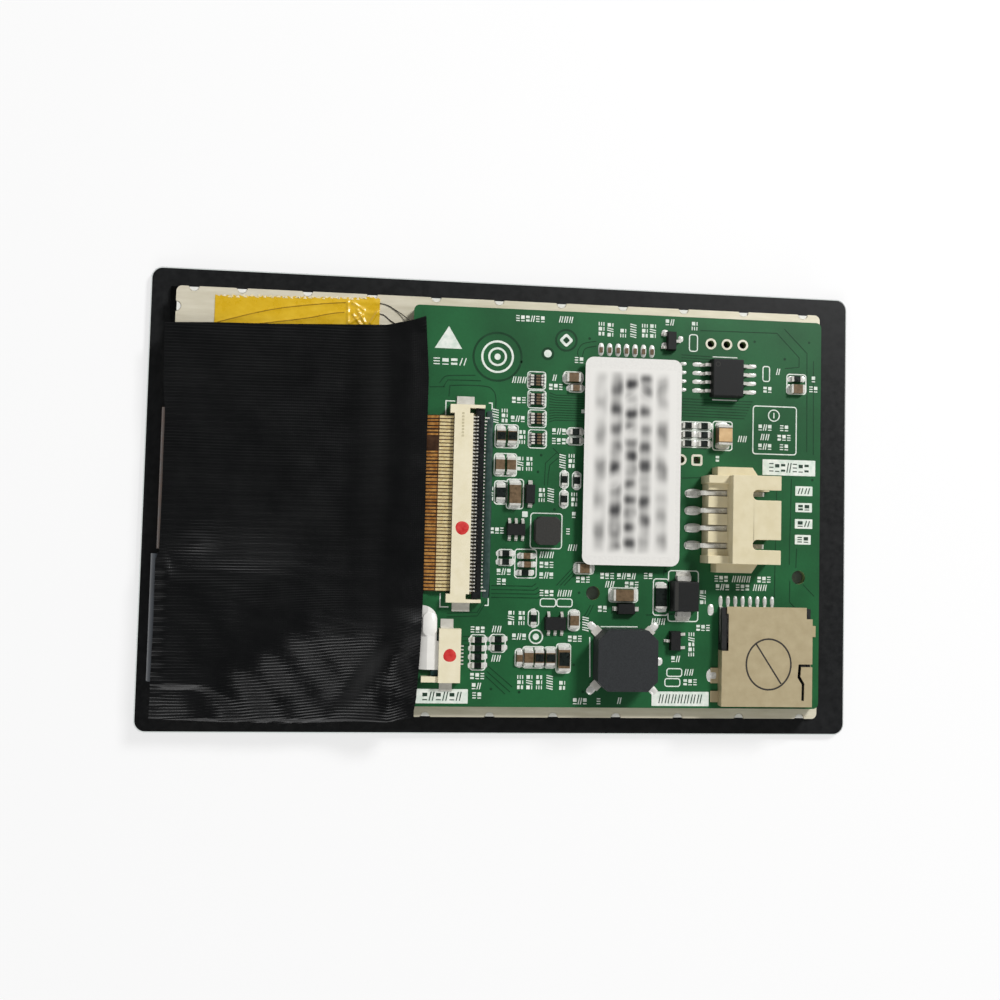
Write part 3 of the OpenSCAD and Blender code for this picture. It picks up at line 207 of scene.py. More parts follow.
def rounded_outline(width, height, radius, steps=4):
    """A rectangle's outline whose corners are quarter circles, counted anticlockwise."""
    angle = np.linspace(0.0, math.pi / 2, steps + 1)
    arc = radius * np.stack([np.cos(angle), np.sin(angle)], 1)
    quarter = np.array([[0, -1], [1, 0]])
    corner = np.array([[1, 1], [-1, 1], [-1, -1], [1, -1]]) * (np.array([width, height]) / 2 - radius)
    return np.concatenate([arc @ np.linalg.matrix_power(quarter.T, k) + corner[k] for k in range(4)])


def circle(radius, steps=24, at=(0.0, 0.0)):
    """Points round a circle, anticlockwise."""
    angle = round_angles(steps)
    return radius * np.stack([np.cos(angle), np.sin(angle)], 1) + np.asarray(at)


def plate(outline, low, high, ease=0.0):
    """A flat plate: the outline from low to high, with its top edge drawn in by ease."""
    outline = np.asarray(outline, float)
    centre = outline.mean(0)
    reach = np.linalg.norm(outline - centre, axis=1, keepdims=True)
    inner = outline - (outline - centre) * ease / reach
    rings = ((outline, low), (outline, high - ease), (inner, high))
    return loft(np.stack([at_height(ring, z) for ring, z in rings]))


def ribbon(path, width, low, high, closed=False):
    """A printed line: a rectangle of the given width, from low to high, carried along a path with mitred corners."""
    path = np.asarray(path, float)
    if closed:
        before, after = np.roll(path, 1, 0), np.roll(path, -1, 0)
    else:
        before = np.vstack([2 * path[0] - path[1], path[:-1]])
        after = np.vstack([path[1:], 2 * path[-1] - path[-2]])
    come = (path - before) / np.linalg.norm(path - before, axis=1, keepdims=True)
    leave = (after - path) / np.linalg.norm(after - path, axis=1, keepdims=True)
    side = np.stack([-come[:, 1], come[:, 0]], 1)
    mitre = side + np.stack([-leave[:, 1], leave[:, 0]], 1)
    mitre /= np.maximum((mitre * side).sum(1, keepdims=True), 0.3)
    left, right = path + mitre * width / 2, path - mitre * width / 2
    corners = ((left, low), (right, low), (right, high), (left, high))
    return loft(np.stack([at_height(edge, z) for edge, z in corners], 1), closed)


def pillow(width, height, low, high, steps=4, rounding=0.14):
    """A solder pad: z rises as ((1 - u^4)(1 - v^4))^0.6, and the sides are drawn in as the square of the other way."""
    u, v = np.meshgrid(np.linspace(-1, 1, steps + 1), np.linspace(-1, 1, steps + 1), indexing="xy")
    x = u * (1 - rounding * v * v) * width / 2
    y = v * (1 - rounding * u * u) * height / 2
    z = low + (high - low) * ((1 - u ** 4) * (1 - v ** 4)) ** 0.6
    rim = grid_rim(steps + 1, steps + 1)
    return np.stack([x, y, z], 2).reshape(-1, 3), [grid_quads(steps + 1, steps + 1), rim[None, ::-1]]


def fillet(reach, width, low, high):
    """Solder against a chip's end: a hollow curve from the pad up to the end cap, carried across the chip."""
    t = np.linspace(0.0, 1.0, 5)
    curve = np.stack([reach * t, low + (high - low) * (1 - t) ** 2.2], 1)
    section = np.vstack([curve, [0.0, low]])
    across = np.array([-0.5, -0.17, 0.17, 0.5]) * width
    pinch = np.array([0.8, 1.0, 1.0, 0.8])
    rings = [np.column_stack([section[:, 0] * p, np.full(len(section), y), low + (section[:, 1] - low) * p])
             for y, p in zip(across, pinch)]
    return loft(np.stack(rings))


def rounded_path(path, fine=6):
    """Points on the Catmull-Rom curve through a path."""
    path = np.asarray(path, float)
    ends = np.vstack([2 * path[0] - path[1], path, 2 * path[-1] - path[-2]])
    t = np.linspace(0.0, 1.0, fine, endpoint=False)[None, :, None]
    a, b, c, d = (ends[k:len(ends) - 3 + k][:, None] for k in range(4))
    curve = 0.5 * (2 * b + (c - a) * t + (2 * a - 5 * b + 4 * c - d) * t ** 2 + (3 * b - a - 3 * c + d) * t ** 3)
    return np.vstack([curve.reshape(-1, path.shape[1]), path[-1]])


def tube(path, radius, sides=10):
    """A wire: a circle carried along a path that is rounded by a Catmull-Rom curve."""
    line = rounded_path(path)
    ahead = np.gradient(line, axis=0)
    ahead /= np.linalg.norm(ahead, axis=1, keepdims=True)
    side = np.cross(ahead, [0.0, 0.0, 1.0]) + np.array([0.0, -1e-6, 0.0])
    side /= np.linalg.norm(side, axis=1, keepdims=True)
    up = np.cross(side, ahead)
    angle = round_angles(sides)[None, :, None]
    rings = line[:, None] + radius * (np.cos(angle) * side[:, None] + np.sin(angle) * up[:, None])
    return loft(rings, inside_out=True)


def placed(part, at, turn=0.0):
    """The same shape turned about Z by an angle in degrees and moved to a place."""
    points, faces = part
    a = math.radians(turn)
    spin = np.array([[math.cos(a), math.sin(a), 0], [-math.sin(a), math.cos(a), 0], [0, 0, 1]])
    shift = np.array(tuple(at) + (0.0,) * (3 - len(at)))
    return points @ spin + shift, faces


def add_object(name, data):
    """A new object in the scene."""
    made = bpy.data.objects.new(name, data)
    bpy.context.scene.collection.objects.link(made)
    return made


def add_piece(name, parts, finish, smooth=None):
    """Joins shapes into one mesh piece on the module.

    smooth is the angle in degrees above which an edge stays sharp.
    """
    points, faces, base = [], [], 0
    for part_points, part_faces in parts:
        points.append(part_points)
        for group in part_faces:
            faces.extend((group + base).tolist())
        base += len(part_points)
    mesh = bpy.data.meshes.new(name)
    mesh.from_pydata((np.concatenate(points) * MM).tolist(), [], faces)
    if smooth is not None:
        mesh.shade_smooth()
        mesh.set_sharp_from_angle(angle=math.radians(smooth))
    mesh.update()
    piece = add_object(name, mesh)
    mesh.materials.append(FINISH[finish])
    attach(piece, "module")
    return piece


def give(finish, *nodes):
    """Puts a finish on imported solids."""
    for name in nodes:
        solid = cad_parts[name]
        if not solid.material_slots:
            solid.data.materials.append(FINISH[finish])
        for place in solid.material_slots:
            place.material = FINISH[finish]


def soften(width, *nodes):
    """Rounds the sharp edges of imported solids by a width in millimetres, after joining their loose triangles."""
    for name in nodes:
        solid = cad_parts[name]
        weld = solid.modifiers.new("join", "WELD")
        weld.merge_threshold = 1e-6
        bevel = solid.modifiers.new("round", "BEVEL")
        bevel.width = width * MM
        bevel.segments = 2
        bevel.limit_method = "ANGLE"
        bevel.angle_limit = math.radians(50)


# Finishes


def add_node(tree, kind, inputs=None, out=0, **settings):
    """Adds a shader node, gives it its settings, fills or links its inputs, and returns one of its outputs."""
    new = tree.nodes.new("ShaderNode" + kind)
    for key, value in settings.items():
        setattr(new, key, value)
    for key, value in (inputs or {}).items():
        if isinstance(value, bpy.types.NodeSocket):
            tree.links.new(value, new.inputs[key])
        else:
            new.inputs[key].default_value = value
    return new.outputs[out] if new.outputs else None


def empty_tree(owner):
    """The cleared node tree of a material or a world."""
    owner.use_nodes = True
    owner.node_tree.nodes.clear()
    return owner.node_tree


def start_finish(name):
    """A new material with an empty tree and its Object coordinates."""
    material = bpy.data.materials.new(name)
    tree = empty_tree(material)
    return material, tree, add_node(tree, "TexCoord", {}, "Object")


def close_finish(tree, inputs):
    """Ends a material's tree in one shader."""
    add_node(tree, "OutputMaterial", {"Surface": add_node(tree, "BsdfPrincipled", inputs)})


def mottled(name, dark, light, grain, rough, bump=0.0, stretch=(1.0, 1.0, 1.0), **shader):
    """Two close tones mixed by a cloud whose grain is in millimetres; the cloud also gives roughness and relief."""
    material, tree, place = start_finish(name)
    turned = add_node(tree, "Mapping", {"Vector": place, "Scale": stretch})
    cloud = add_node(tree, "TexNoise", {
        "Vector": turned, "Scale": 1.0 / (grain * MM), "Detail": 4.0, "Roughness": 0.6})
    wide = add_node(tree, "MapRange", {"Value": cloud, 1: 0.32, 2: 0.68})
    tone = add_node(tree, "Mix", {0: wide, 6: linear(dark), 7: linear(light)}, 2, data_type="RGBA")
    gloss = add_node(tree, "MapRange", {"Value": wide, 3: rough[0], 4: rough[1]})
    inputs = {"Base Color": tone, "Roughness": gloss}
    if bump:
        inputs["Normal"] = add_node(tree, "Bump", {"Height": cloud, "Distance": bump * MM, "Strength": 0.6})
    inputs.update({key.replace("_", " "): value for key, value in shader.items()})
    close_finish(tree, inputs)
    return material


def solder_mask_finish(mask_colour):
    """Green solder mask over glass-epoxy laminate: glossy lacquer, darker where copper ends, straw-green cut edges."""
    material, tree, place = start_finish("solder_mask_on_laminate")
    height = add_node(tree, "SeparateXYZ", {0: place}, 2)
    on_top = add_node(tree, "Math", {0: height, 1: (BOARD_TOP - 0.03) * MM}, operation="GREATER_THAN")
    pour = add_node(tree, "TexNoise", {"Vector": place, "Scale": 1.0 / (9.0 * MM), "Detail": 2.0})
    wide = add_node(tree, "MapRange", {"Value": pour, 1: 0.35, 2: 0.65})
    deep = tuple(c * 0.72 for c in mask_colour[:3]) + (1.0,)
    mask = add_node(tree, "Mix", {0: wide, 6: deep, 7: mask_colour}, 2, data_type="RGBA")
    grain = add_node(tree, "TexNoise", {"Vector": place, "Scale": 1.0 / (0.35 * MM), "Detail": 3.0})
    fine = add_node(tree, "Mix", {0: 0.12, 6: mask, 7: grain}, 2, data_type="RGBA", blend_type="OVERLAY")
    tone = add_node(tree, "Mix", {0: on_top, 6: linear("#7F9060"), 7: fine}, 2, data_type="RGBA")
    relief = add_node(tree, "Bump", {"Height": grain, "Distance": 0.006 * MM, "Strength": 0.5})
    close_finish(tree, {"Base Color": tone, "Roughness": 0.4, "IOR": 1.5, "Specular IOR Level": 0.4,
                        "Normal": relief})
    return material


def woven_tape_finish(colour, thread):
    """Black acetate cloth tape: threads over and under each other, matt where flat, shining on a rib's near side.

    The thread is drawn coarser than the real one.
    """
    material, tree, place = start_finish("acetate_cloth")
    waves = [add_node(tree, "TexWave", {
        "Vector": place, "Scale": WAVE_BAND / (thread * MM), "Distortion": 1.2, "Detail": 2.0, "Detail Scale": 1.5},
        "Fac", wave_type="BANDS", bands_direction=axis) for axis in ("X", "Y")]
    weave = add_node(tree, "Math", {0: waves[0], 1: waves[1]}, operation="MULTIPLY")
    worn = add_node(tree, "TexNoise", {"Vector": place, "Scale": 1.0 / (5.0 * MM), "Detail": 5.0, "Roughness": 0.65})
    both = add_node(tree, "Math", {0: weave, 1: worn}, operation="MULTIPLY")
    lifted = tuple(min(1.0, c * 1.5 + 0.002) for c in colour[:3]) + (1.0,)
    tone = add_node(tree, "Mix", {0: both, 6: colour, 7: lifted}, 2, data_type="RGBA")
    gloss = add_node(tree, "MapRange", {"Value": worn, 1: 0.3, 2: 0.7, 3: 0.29, 4: 0.39})
    relief = add_node(tree, "Bump", {"Height": weave, "Distance": 0.02 * MM, "Strength": 0.3})
    close_finish(tree, {"Base Color": tone, "Roughness": gloss, "Specular IOR Level": 0.4, "Normal": relief})
    return material


def touch_flex_finish():
    """White coverlay near the connector; slate-grey bare film where the circuit turns round the tray's left edge."""
    material, tree, place = start_finish("coverlay_film")
    along = add_node(tree, "SeparateXYZ", {0: place}, 0)
    near = add_node(tree, "MapRange", {"Value": along, 1: -30 * MM, 2: -25 * MM})
    cloud = add_node(tree, "TexNoise", {"Vector": place, "Scale": 1.0 / (1.8 * MM), "Detail": 3.0})
    white = add_node(tree, "Mix", {0: cloud, 6: linear("#E9E7E0"), 7: linear("#FAF8F3")}, 2, data_type="RGBA")
    slate = add_node(tree, "Mix", {0: cloud, 6: linear("#262B32"), 7: linear("#3B434C")}, 2, data_type="RGBA")
    tone = add_node(tree, "Mix", {0: near, 6: slate, 7: white}, 2, data_type="RGBA")
    relief = add_node(tree, "Bump", {"Height": cloud, "Distance": 0.05 * MM, "Strength": 0.3})
    close_finish(tree, {"Base Color": tone, "Roughness": 0.3, "IOR": 1.5, "Normal": relief})
    return material


def soft_print_finish(paper, ink, columns):
    """Faded ink on paper: in each column soft blots follow a sine along Y, weakened by a cloud.

    The tone falls as the square of what the ink leaves.
    """
    material, tree, place = start_finish("faded_label_ink")
    across, along = (add_node(tree, "SeparateXYZ", {0: place}, axis) for axis in (0, 1))
    cloud = add_node(tree, "TexNoise", {"Vector": place, "Scale": 1.0 / (2.4 * MM), "Detail": 0.0})
    worn = add_node(tree, "MapRange", {"Value": cloud, 1: 0.3, 2: 0.7, 3: 0.25})

    def reach(way, centre, outer, inner, tone):
        off = add_node(tree, "Math", {0: way, 1: centre * MM}, operation="SUBTRACT")
        far = add_node(tree, "Math", {0: off}, operation="ABSOLUTE")
        return add_node(tree, "MapRange", {"Value": far, 1: inner * MM, 2: outer * MM, 3: tone, 4: 0.0},
                        interpolation_type="SMOOTHSTEP")

    amount = 0.0
    for k, (centre, tone, pitch) in enumerate(columns):
        turn = add_node(tree, "Math", {0: along, 1: 2 * math.pi / (pitch * MM), 2: 1.9 * k}, operation="MULTIPLY_ADD")
        beat = add_node(tree, "Math", {0: turn}, operation="SINE")
        blots = add_node(tree, "MapRange", {"Value": beat, 1: -1.0, 2: 1.0, 3: 0.45, 4: 1.0})
        column = add_node(tree, "Math", {0: reach(across, centre, 1.35, 0.2, tone), 1: blots}, operation="MULTIPLY")
        amount = add_node(tree, "Math", {0: column, 1: amount}, operation="MAXIMUM")
    for share in (worn, reach(along, LABEL_AT[1], 13.3, 11.8, 1.0)):
        amount = add_node(tree, "Math", {0: amount, 1: share}, operation="MULTIPLY")
    left = add_node(tree, "Math", {0: 1.0, 1: amount}, operation="SUBTRACT")
    light = add_node(tree, "Math", {0: left, 1: 2.0}, operation="POWER")
    tone = add_node(tree, "Mix", {0: light, 6: linear(ink), 7: linear(paper)}, 2, data_type="RGBA")
    close_finish(tree, {"Base Color": tone, "Roughness": 0.62})
    return material


def make_finishes(settings):
    """Every finish of the module, by the name of what it is on."""
    return {
        # Float glass, ground at the edges: clear with a faint green tint
        "glass": mottled("float_glass", "#E9F2EE", "#F4F8F6", 6.0, (0.03, 0.08), Transmission_Weight=1.0, IOR=1.52),
        # Screen-printed ink: flat black with a fine orange-peel gloss
        "border": mottled("screen_printed_ink", "#151617", "#1C1D1E", 0.8, (0.38, 0.5), 0.004, Specular_IOR_Level=0.24),
        # Cast acrylic bond: clear and colourless between two glasses
        "bond": mottled("clear_acrylic_bond", "#EEF0EE", "#F8F8F6", 3.0, (0.1, 0.2), Transmission_Weight=0.9, IOR=1.47),
        # Closed-cell foam: dull black with small pits
        "foam": mottled("closed_cell_foam", "#121314", "#202124", 0.25, (0.8, 0.95), 0.05, Specular_IOR_Level=0.3),
        # A grey disc under each tool hole, standing in for the dark seen down the hole: painted shade, pale enough that
        # the hole's own shade brings it to a dull dark grey
        "hole_shade_grey": mottled("hole_shade_grey", "#8B918D", "#9BA19D", 0.3, (0.75, 0.9), 0.03, Specular_IOR_Level=0.3),
        # Stretched polarising film: dark, smooth and even
        "polariser": mottled("polariser_film", "#2A2D2C", "#373A38", 4.0, (0.15, 0.25), IOR=1.49),
        # Embossed polyester film: pearly white, soft gloss
        "film": mottled("pearl_diffuser_film", "#E3E5E2", "#F2F2EE", 0.5, (0.35, 0.5), 0.01, IOR=1.55),
        # Moulded polycarbonate: white, slightly satin
        "white_plastic": mottled("moulded_polycarbonate", "#E9E8E2", "#F3F2EC", 1.2, (0.35, 0.5), 0.01, IOR=1.58),
        # Rolled, plated sheet: warm pale grey, its faint lines along the module
        "tray": mottled("rolled_plated_sheet", "#DBD3BB", "#E6DFCA", 0.6, (0.4, 0.5), 0.002, (0.15, 1.0, 1.0),
                        Metallic=0.2),
        # Polyimide film: clear amber gloss with small crinkles
        "amber": mottled("polyimide_tape", "#D8AC10", "#E5BC24", 2.2, (0.24, 0.36), 0.02, IOR=1.6, Coat_Weight=0.1,
                         Coat_Roughness=0.15),
        # The film over a wire, which shows through it: brown amber
        "amber_shade": mottled("polyimide_over_wire", "#8E6A0C", "#A67E12", 0.8, (0.26, 0.36), IOR=1.6),
        # The film where its cut edge is torn and lifted: pale flecks, their brightness a painted glint on the lifted
        # bits
        "fleck": mottled("torn_edge_painted_glint", "#E9D48A", "#F8F1D8", 0.3, (0.25, 0.35)),
        # Enamel on thin copper wire: dark brown with a soft gloss
        "lead": mottled("wire_enamel", "#2A2622", "#4A443C", 0.4, (0.3, 0.4), 0.01),
        # Silkscreen: opaque white ink with a pale green cast at its thin places
        "ink": mottled("silkscreen_ink", "#CFDDD0", "#F0F2EA", 0.9, (0.5, 0.65), 0.01),
        # Gaps left open in the white ink: the board's own dark green shows
        "dark_ink": mottled("dark_gap_in_ink", "#123020", "#183A28", 0.6, (0.45, 0.55)),
        # Solder mask where the copper below it ends: a shade darker
        "track": mottled("mask_over_copper_gap", "#0C381E", "#124325", 1.5, (0.4, 0.5), Specular_IOR_Level=0.3),
        # Reflowed tin-lead solder: bright and smooth, with a slightly frosted skin
        "solder": mottled("reflowed_solder", "#DADAD5", "#EEEDE7", 0.8, (0.2, 0.3), Metallic=0.15),
        # Tin plate on brass: bright, a little warm
        "tin": mottled("tin_plated_brass", "#D6D4CC", "#E6E4DC", 0.8, (0.22, 0.32), Metallic=0.2),
        # Stamped tabs with a matt tin coat: pale and smooth
        "nail": mottled("matt_tin_tab", "#D6D3C9", "#E4E1D8", 1.0, (0.32, 0.42), 0.002, Metallic=0.2),
        # Tinned rim of a plated hole: pale cream-silver
        "plating": mottled("tinned_ring", "#DDD8C4", "#F1ECD9", 0.4, (0.3, 0.42), 0.004, Metallic=0.2),
        # Gold flash on copper: pale yellow, satin
        "gold": mottled("gold_flashed_copper", "#D5BB80", "#EFDFAD", 0.5, (0.28, 0.4), Metallic=0.15),
        # Copper under a polyimide cover: orange-brown, uneven
        "copper": mottled("copper_under_film", "#A5672A", "#D9A257", 0.7, (0.3, 0.45), 0.005, Metallic=0.25),
        # Polyimide base film: dark amber-brown
        "flex": mottled("polyimide_flex_base", "#2E1A0B", "#4C2E13", 1.2, (0.3, 0.45), IOR=1.6),
        # Glass-filled nylon: cream, with the dull bloom of a moulded face
        "cream": mottled("moulded_nylon", "#E9DFBE", "#EFE6C9", 1.4, (0.45, 0.56), 0.004, IOR=1.53),
        # The same nylon in a shallow moulded mark: shaded cream
        "cream_shade": mottled("shaded_nylon", "#BFB592", "#CFC5A4", 0.8, (0.5, 0.6), IOR=1.53),
        # The power header's nylon: a shade browner
        "tan": mottled("moulded_tan_nylon", "#DACEA9", "#E1D6B4", 1.4, (0.45, 0.56), 0.004, IOR=1.53),
        # Black liquid-crystal polymer: flat, faintly grained
        "latch": mottled("black_polymer", "#0C0E0F", "#151819", 0.6, (0.4, 0.5), 0.006, Specular_IOR_Level=0.3),
        # A softly glossy slate grey bead over the contact feet: its tone is partly the bead's own colour and partly
        # painted shade of the feet beside the latch
        "bead": mottled("slate_bead_painted_shade", "#2B3F3B", "#394F49", 0.8, (0.3, 0.42), 0.01, Specular_IOR_Level=0.4),
        # Coloured polymer of the sliding lock: dark teal
        "slider": mottled("dark_teal_polymer", "#16302F", "#22413F", 0.6, (0.35, 0.5), 0.01),
        # Moulded epoxy: nearly black with fine filler grain
        "epoxy": mottled("moulded_epoxy", "#111212", "#1C1D1D", 0.16, (0.5, 0.65), 0.015, Specular_IOR_Level=0.3),
        # Glaze on a chip resistor: black-green and shiny
        "resistor": mottled("glazed_resistor", "#0F1512", "#1B2420", 0.4, (0.25, 0.4), 0.01, Specular_IOR_Level=0.4),
        # Fired dielectric ceramic: grey-brown, biscuit-like
        "ceramic": mottled("fired_ceramic", "#59472F", "#775F42", 0.4, (0.4, 0.55), 0.008),
        # A larger capacitor's ceramic is a light tan
        "light_ceramic": mottled("tan_ceramic", "#CBA676", "#DAB888", 0.9, (0.4, 0.55), 0.006),
        # Pressed ferrite and resin: dark grey, granular
        "ferrite": mottled("pressed_ferrite", "#282825", "#363532", 0.22, (0.6, 0.75), 0.015, Specular_IOR_Level=0.35),
        # Moulded black plastic with a spark-eroded grain
        "buzzer": mottled("moulded_black_plastic", "#1F2123", "#2A2D2F", 0.2, (0.5, 0.65), 0.015,
                          Specular_IOR_Level=0.4),
        # Nickel-plated brass strip: warm grey, satin
        "shell": mottled("nickel_plated_strip", "#BDAD89", "#C5B692", 1.6, (0.36, 0.44), 0.001, Metallic=0.25),
        # Glass-filled black polymer under the shell: flat black
        "socket_base": mottled("black_glass_filled_polymer", "#101110", "#1B1C1B", 0.4, (0.5, 0.6), 0.01),
        # Drawn spring wire: bright grey steel
        "spring": mottled("spring_wire", "#8C8C88", "#B4B3AE", 0.3, (0.25, 0.35), Metallic=1.0),
        # Uncoated label stock: soft white
        "label": mottled("label_paper", "#E2E0DB", "#E9E7E2", 0.35, (0.6, 0.75), 0.006),
        # Inspection paint: a glossy orange-red drop
        "red": mottled("red_marking_paint", "#C8282A", "#DC443E", 0.7, (0.3, 0.45), 0.03, Coat_Weight=0.15),
        # Stamp ink on metal: thin brown-black
        "stamp": mottled("stamp_ink", "#211E1A", "#38332D", 0.3, (0.5, 0.6)),
        # The functions of these four say what they give the eye
        "cloth": woven_tape_finish(tuple(settings.cloth_colour), settings.cloth_thread),
        "mask": solder_mask_finish(tuple(settings.mask_colour)),
        "touch_flex": touch_flex_finish(),
        "soft_print": soft_print_finish("#E8E6E1", "#232326", [
            (12.6, 0.42, 4.7), (14.85, 0.85, 2.9), (17.05, 0.92, 2.05), (19.1, 0.78, 2.6), (21.55, 0.5, 5.3)]),
    }


# Settings


class DisplayStageSettings(bpy.types.PropertyGroup):
    """Light and bench."""

    key_power: FloatProperty(name="Key power", description="Power of the upper right lamp, in watts", default=3.0)
    fill_power: FloatProperty(name="Fill power", description="Power of the lamp in front, in watts", default=0.9)
    sky_level: FloatProperty(name="Sky level", description="Brightness of the even light all round", default=0.3)
    ceiling_level: FloatProperty(
        name="Ceiling level", default=0.07,
        description="Brightness of the ceiling that gloss shows; the walls are white")
    floor_colour: FloatVectorProperty(
        name="Floor", description="Colour of the bench", subtype="COLOR", size=4, default=linear("#FAFAFA"))


class DisplayFinishSettings(bpy.types.PropertyGroup):
    """Colours of the large surfaces."""

    cloth_colour: FloatVectorProperty(
        name="Cloth", description="Colour of the cloth tape", subtype="COLOR", size=4, default=linear("#040506"))
    cloth_thread: FloatProperty(name="Thread", description="Thread spacing of the tape, in millimetres", default=0.3)
    mask_colour: FloatVectorProperty(
        name="Solder mask", description="Colour of the board", subtype="COLOR", size=4, default=linear("#1E6236"))


class DisplayClothSettings(bpy.types.PropertyGroup):
    """Shape of the cloth tape."""

    rows: IntProperty(name="Rows", description="Grid rows up the tape", default=1040)
    columns: IntProperty(name="Columns", description="Grid columns across the tape", default=47)
    rib_pitch: FloatProperty(name="Rib spacing", description="Spacing of the ribs, in millimetres", default=0.42)
    rib_height: FloatProperty(name="Rib height", description="Height of the fine ribs, in millimetres", default=0.07)
    hem_pitch: FloatProperty(
        name="Hem spacing", description="Spacing of the ribs in the left hem, in millimetres", default=0.57)
    crease_height: FloatProperty(
        name="Crease height", description="Height of the creased ribs, in millimetres", default=0.115)
    thickness: FloatProperty(name="Thickness", description="Thickness of the tape, in millimetres", default=0.25)


class DisplayPrintSettings(bpy.types.PropertyGroup):
    """Ink and tracks on the board."""

    ink_line: FloatProperty(name="Ink line", description="Width of a printed outline, in millimetres", default=0.16)
    ink_height: FloatProperty(name="Ink height", description="Height of the ink, in millimetres", default=0.04)
    track_line: FloatProperty(
        name="Track gap", description="Width of a gap beside a track, in millimetres", default=0.13)
    dot_diameter: FloatProperty(name="Red dot", description="Width of an inspection dot, in millimetres", default=1.9)


# Operators


class DISPLAY_OT_stage(bpy.types.Operator):
    """Sets up the bench, the light and the camera"""

    bl_idname = "display.stage"
    bl_label = "Stage"

    def execute(self, context):
        settings = context.scene.display_stage
        scene = context.scene
        scene.view_settings.view_transform = "Standard"
        self.add_floor(settings)
        self.add_sky(settings)
        self.add_lamp("key_lamp", KEY_LAMP_PLACE, settings.key_power, 0.12)
        self.add_lamp("front_lamp", FRONT_LAMP_PLACE, settings.fill_power, 0.28)
        self.add_camera(scene)
        return {"FINISHED"}

    def add_floor(self, settings):
        """A white board that keeps the object's shadow, and glows as evenly as the sky far from it."""
        mesh = bpy.data.meshes.new("bench")
        u, v = np.meshgrid(np.linspace(-2, 2, 5), np.linspace(-2, 2, 5), indexing="xy")
        points = np.stack([u, v, np.full_like(u, -0.0001)], 2).reshape(-1, 3)
        mesh.from_pydata(points.tolist(), [], grid_quads(5, 5).tolist())
        bench = add_object("bench", mesh)
        material, tree, place = start_finish("white_bench_board")
        lit = add_node(tree, "BsdfDiffuse", {"Color": tuple(settings.floor_colour)})
        glow = add_node(tree, "Emission", {"Color": WHITE, "Strength": 1.0})
        far = add_node(tree, "VectorMath", {0: place}, "Value", operation="LENGTH")
        glowing = add_node(tree, "MapRange", {"Value": far, 1: 0.12, 2: 0.35, 3: 0.7, 4: 1.0})
        share = add_node(tree, "Math", {0: self.seen_directly(tree), 1: glowing}, operation="MULTIPLY")
        mixed = add_node(tree, "MixShader", {0: share, 1: lit, 2: glow})
        add_node(tree, "OutputMaterial", {"Surface": mixed})
        mesh.materials.append(material)

    def seen_directly(self, tree):
        """1 for rays from the camera, from gloss and through glass, and 0 for the light that falls on the object."""
        seen = 0.0
        for ray in ("Is Camera Ray", "Is Glossy Ray", "Is Transmission Ray"):
            seen = add_node(tree, "Math", {0: add_node(tree, "LightPath", {}, ray), 1: seen}, operation="MAXIMUM")
        return seen

    def add_sky(self, settings):
        """Even light on the object, white to the camera, and a room with a dark ceiling in gloss."""
        world = bpy.data.worlds.new("even_sky")
        tree = empty_tree(world)
        height = add_node(tree, "SeparateXYZ", {0: add_node(tree, "TexCoord", {}, "Generated")}, 2)
        room = add_node(tree, "MapRange", {"Value": height, 1: 0.2, 2: 0.85, 3: 1.0, 4: settings.ceiling_level})
        level = add_node(tree, "Mix", {0: self.seen_directly(tree), 2: settings.sky_level, 3: room})
        direct = add_node(tree, "LightPath", {}, "Is Camera Ray")
        level = add_node(tree, "Math", {0: level, 1: direct}, operation="MAXIMUM")
        sky = add_node(tree, "Background", {"Color": WHITE, "Strength": level})
        add_node(tree, "OutputWorld", {"Surface": sky})
        bpy.context.scene.world = world

    def add_lamp(self, name, place, power, size):
        """A square lamp that shines from its place at the middle of the module."""
        lamp = bpy.data.lights.new(name, "AREA")
        lamp.energy = power
        lamp.size = size
        holder = add_object(name, lamp)
        back = np.array(place) / np.linalg.norm(place)
        side = np.cross([0.0, 1.0, 0.0], back)
        side /= np.linalg.norm(side)
        up = np.cross(back, side)
        turn = Matrix(np.stack([side, up, back], 1).tolist()).to_4x4()
        holder.matrix_world = Matrix.Translation(place) @ turn

    def add_camera(self, scene):
        """The camera that sees the module as the picture does."""
        camera = bpy.data.cameras.new("photo_camera")
        camera.lens = CAMERA_LENS
        camera.sensor_width = 36.0
        camera.shift_x, camera.shift_y = CAMERA_SHIFT
        camera.clip_start = 0.001
        holder = add_object("photo_camera", camera)
        holder.matrix_world = Matrix.Translation(CAMERA_PLACE) @ Matrix(CAMERA_AXES).to_4x4()
        scene.camera = holder


class DISPLAY_OT_finishes(bpy.types.Operator):
    """Mixes the finishes that the other steps use"""

    bl_idname = "display.finishes"
    bl_label = "Finishes"

    def execute(self, context):
        FINISH.update(make_finishes(context.scene.display_finish))
        return {"FINISHED"}


class DISPLAY_OT_front(bpy.types.Operator):
    """Finishes the cover, the display cell and the backlight's layers"""

    bl_idname = "display.front"
    bl_label = "Front and layers"

    def execute(self, context):
        give("glass", "cover_glass", "touch_sensor", "colour_filter_glass", "transistor_glass", "light_guide")
        give("border", "border_print")
        give("bond", "optical_adhesive")
        give("foam", "gasket", "board_tape")
        give("polariser", "front_polariser", "rear_polariser")
        give("epoxy", "driver_chip")
        give("film", "prism_sheet_front", "prism_sheet_rear", "diffuser_sheet", "reflector_sheet")
        give("white_plastic", "mould_frame", "backlight_leds")
        give("amber", "led_strip")
        give("tray", "back_tray")
        return {"FINISHED"}


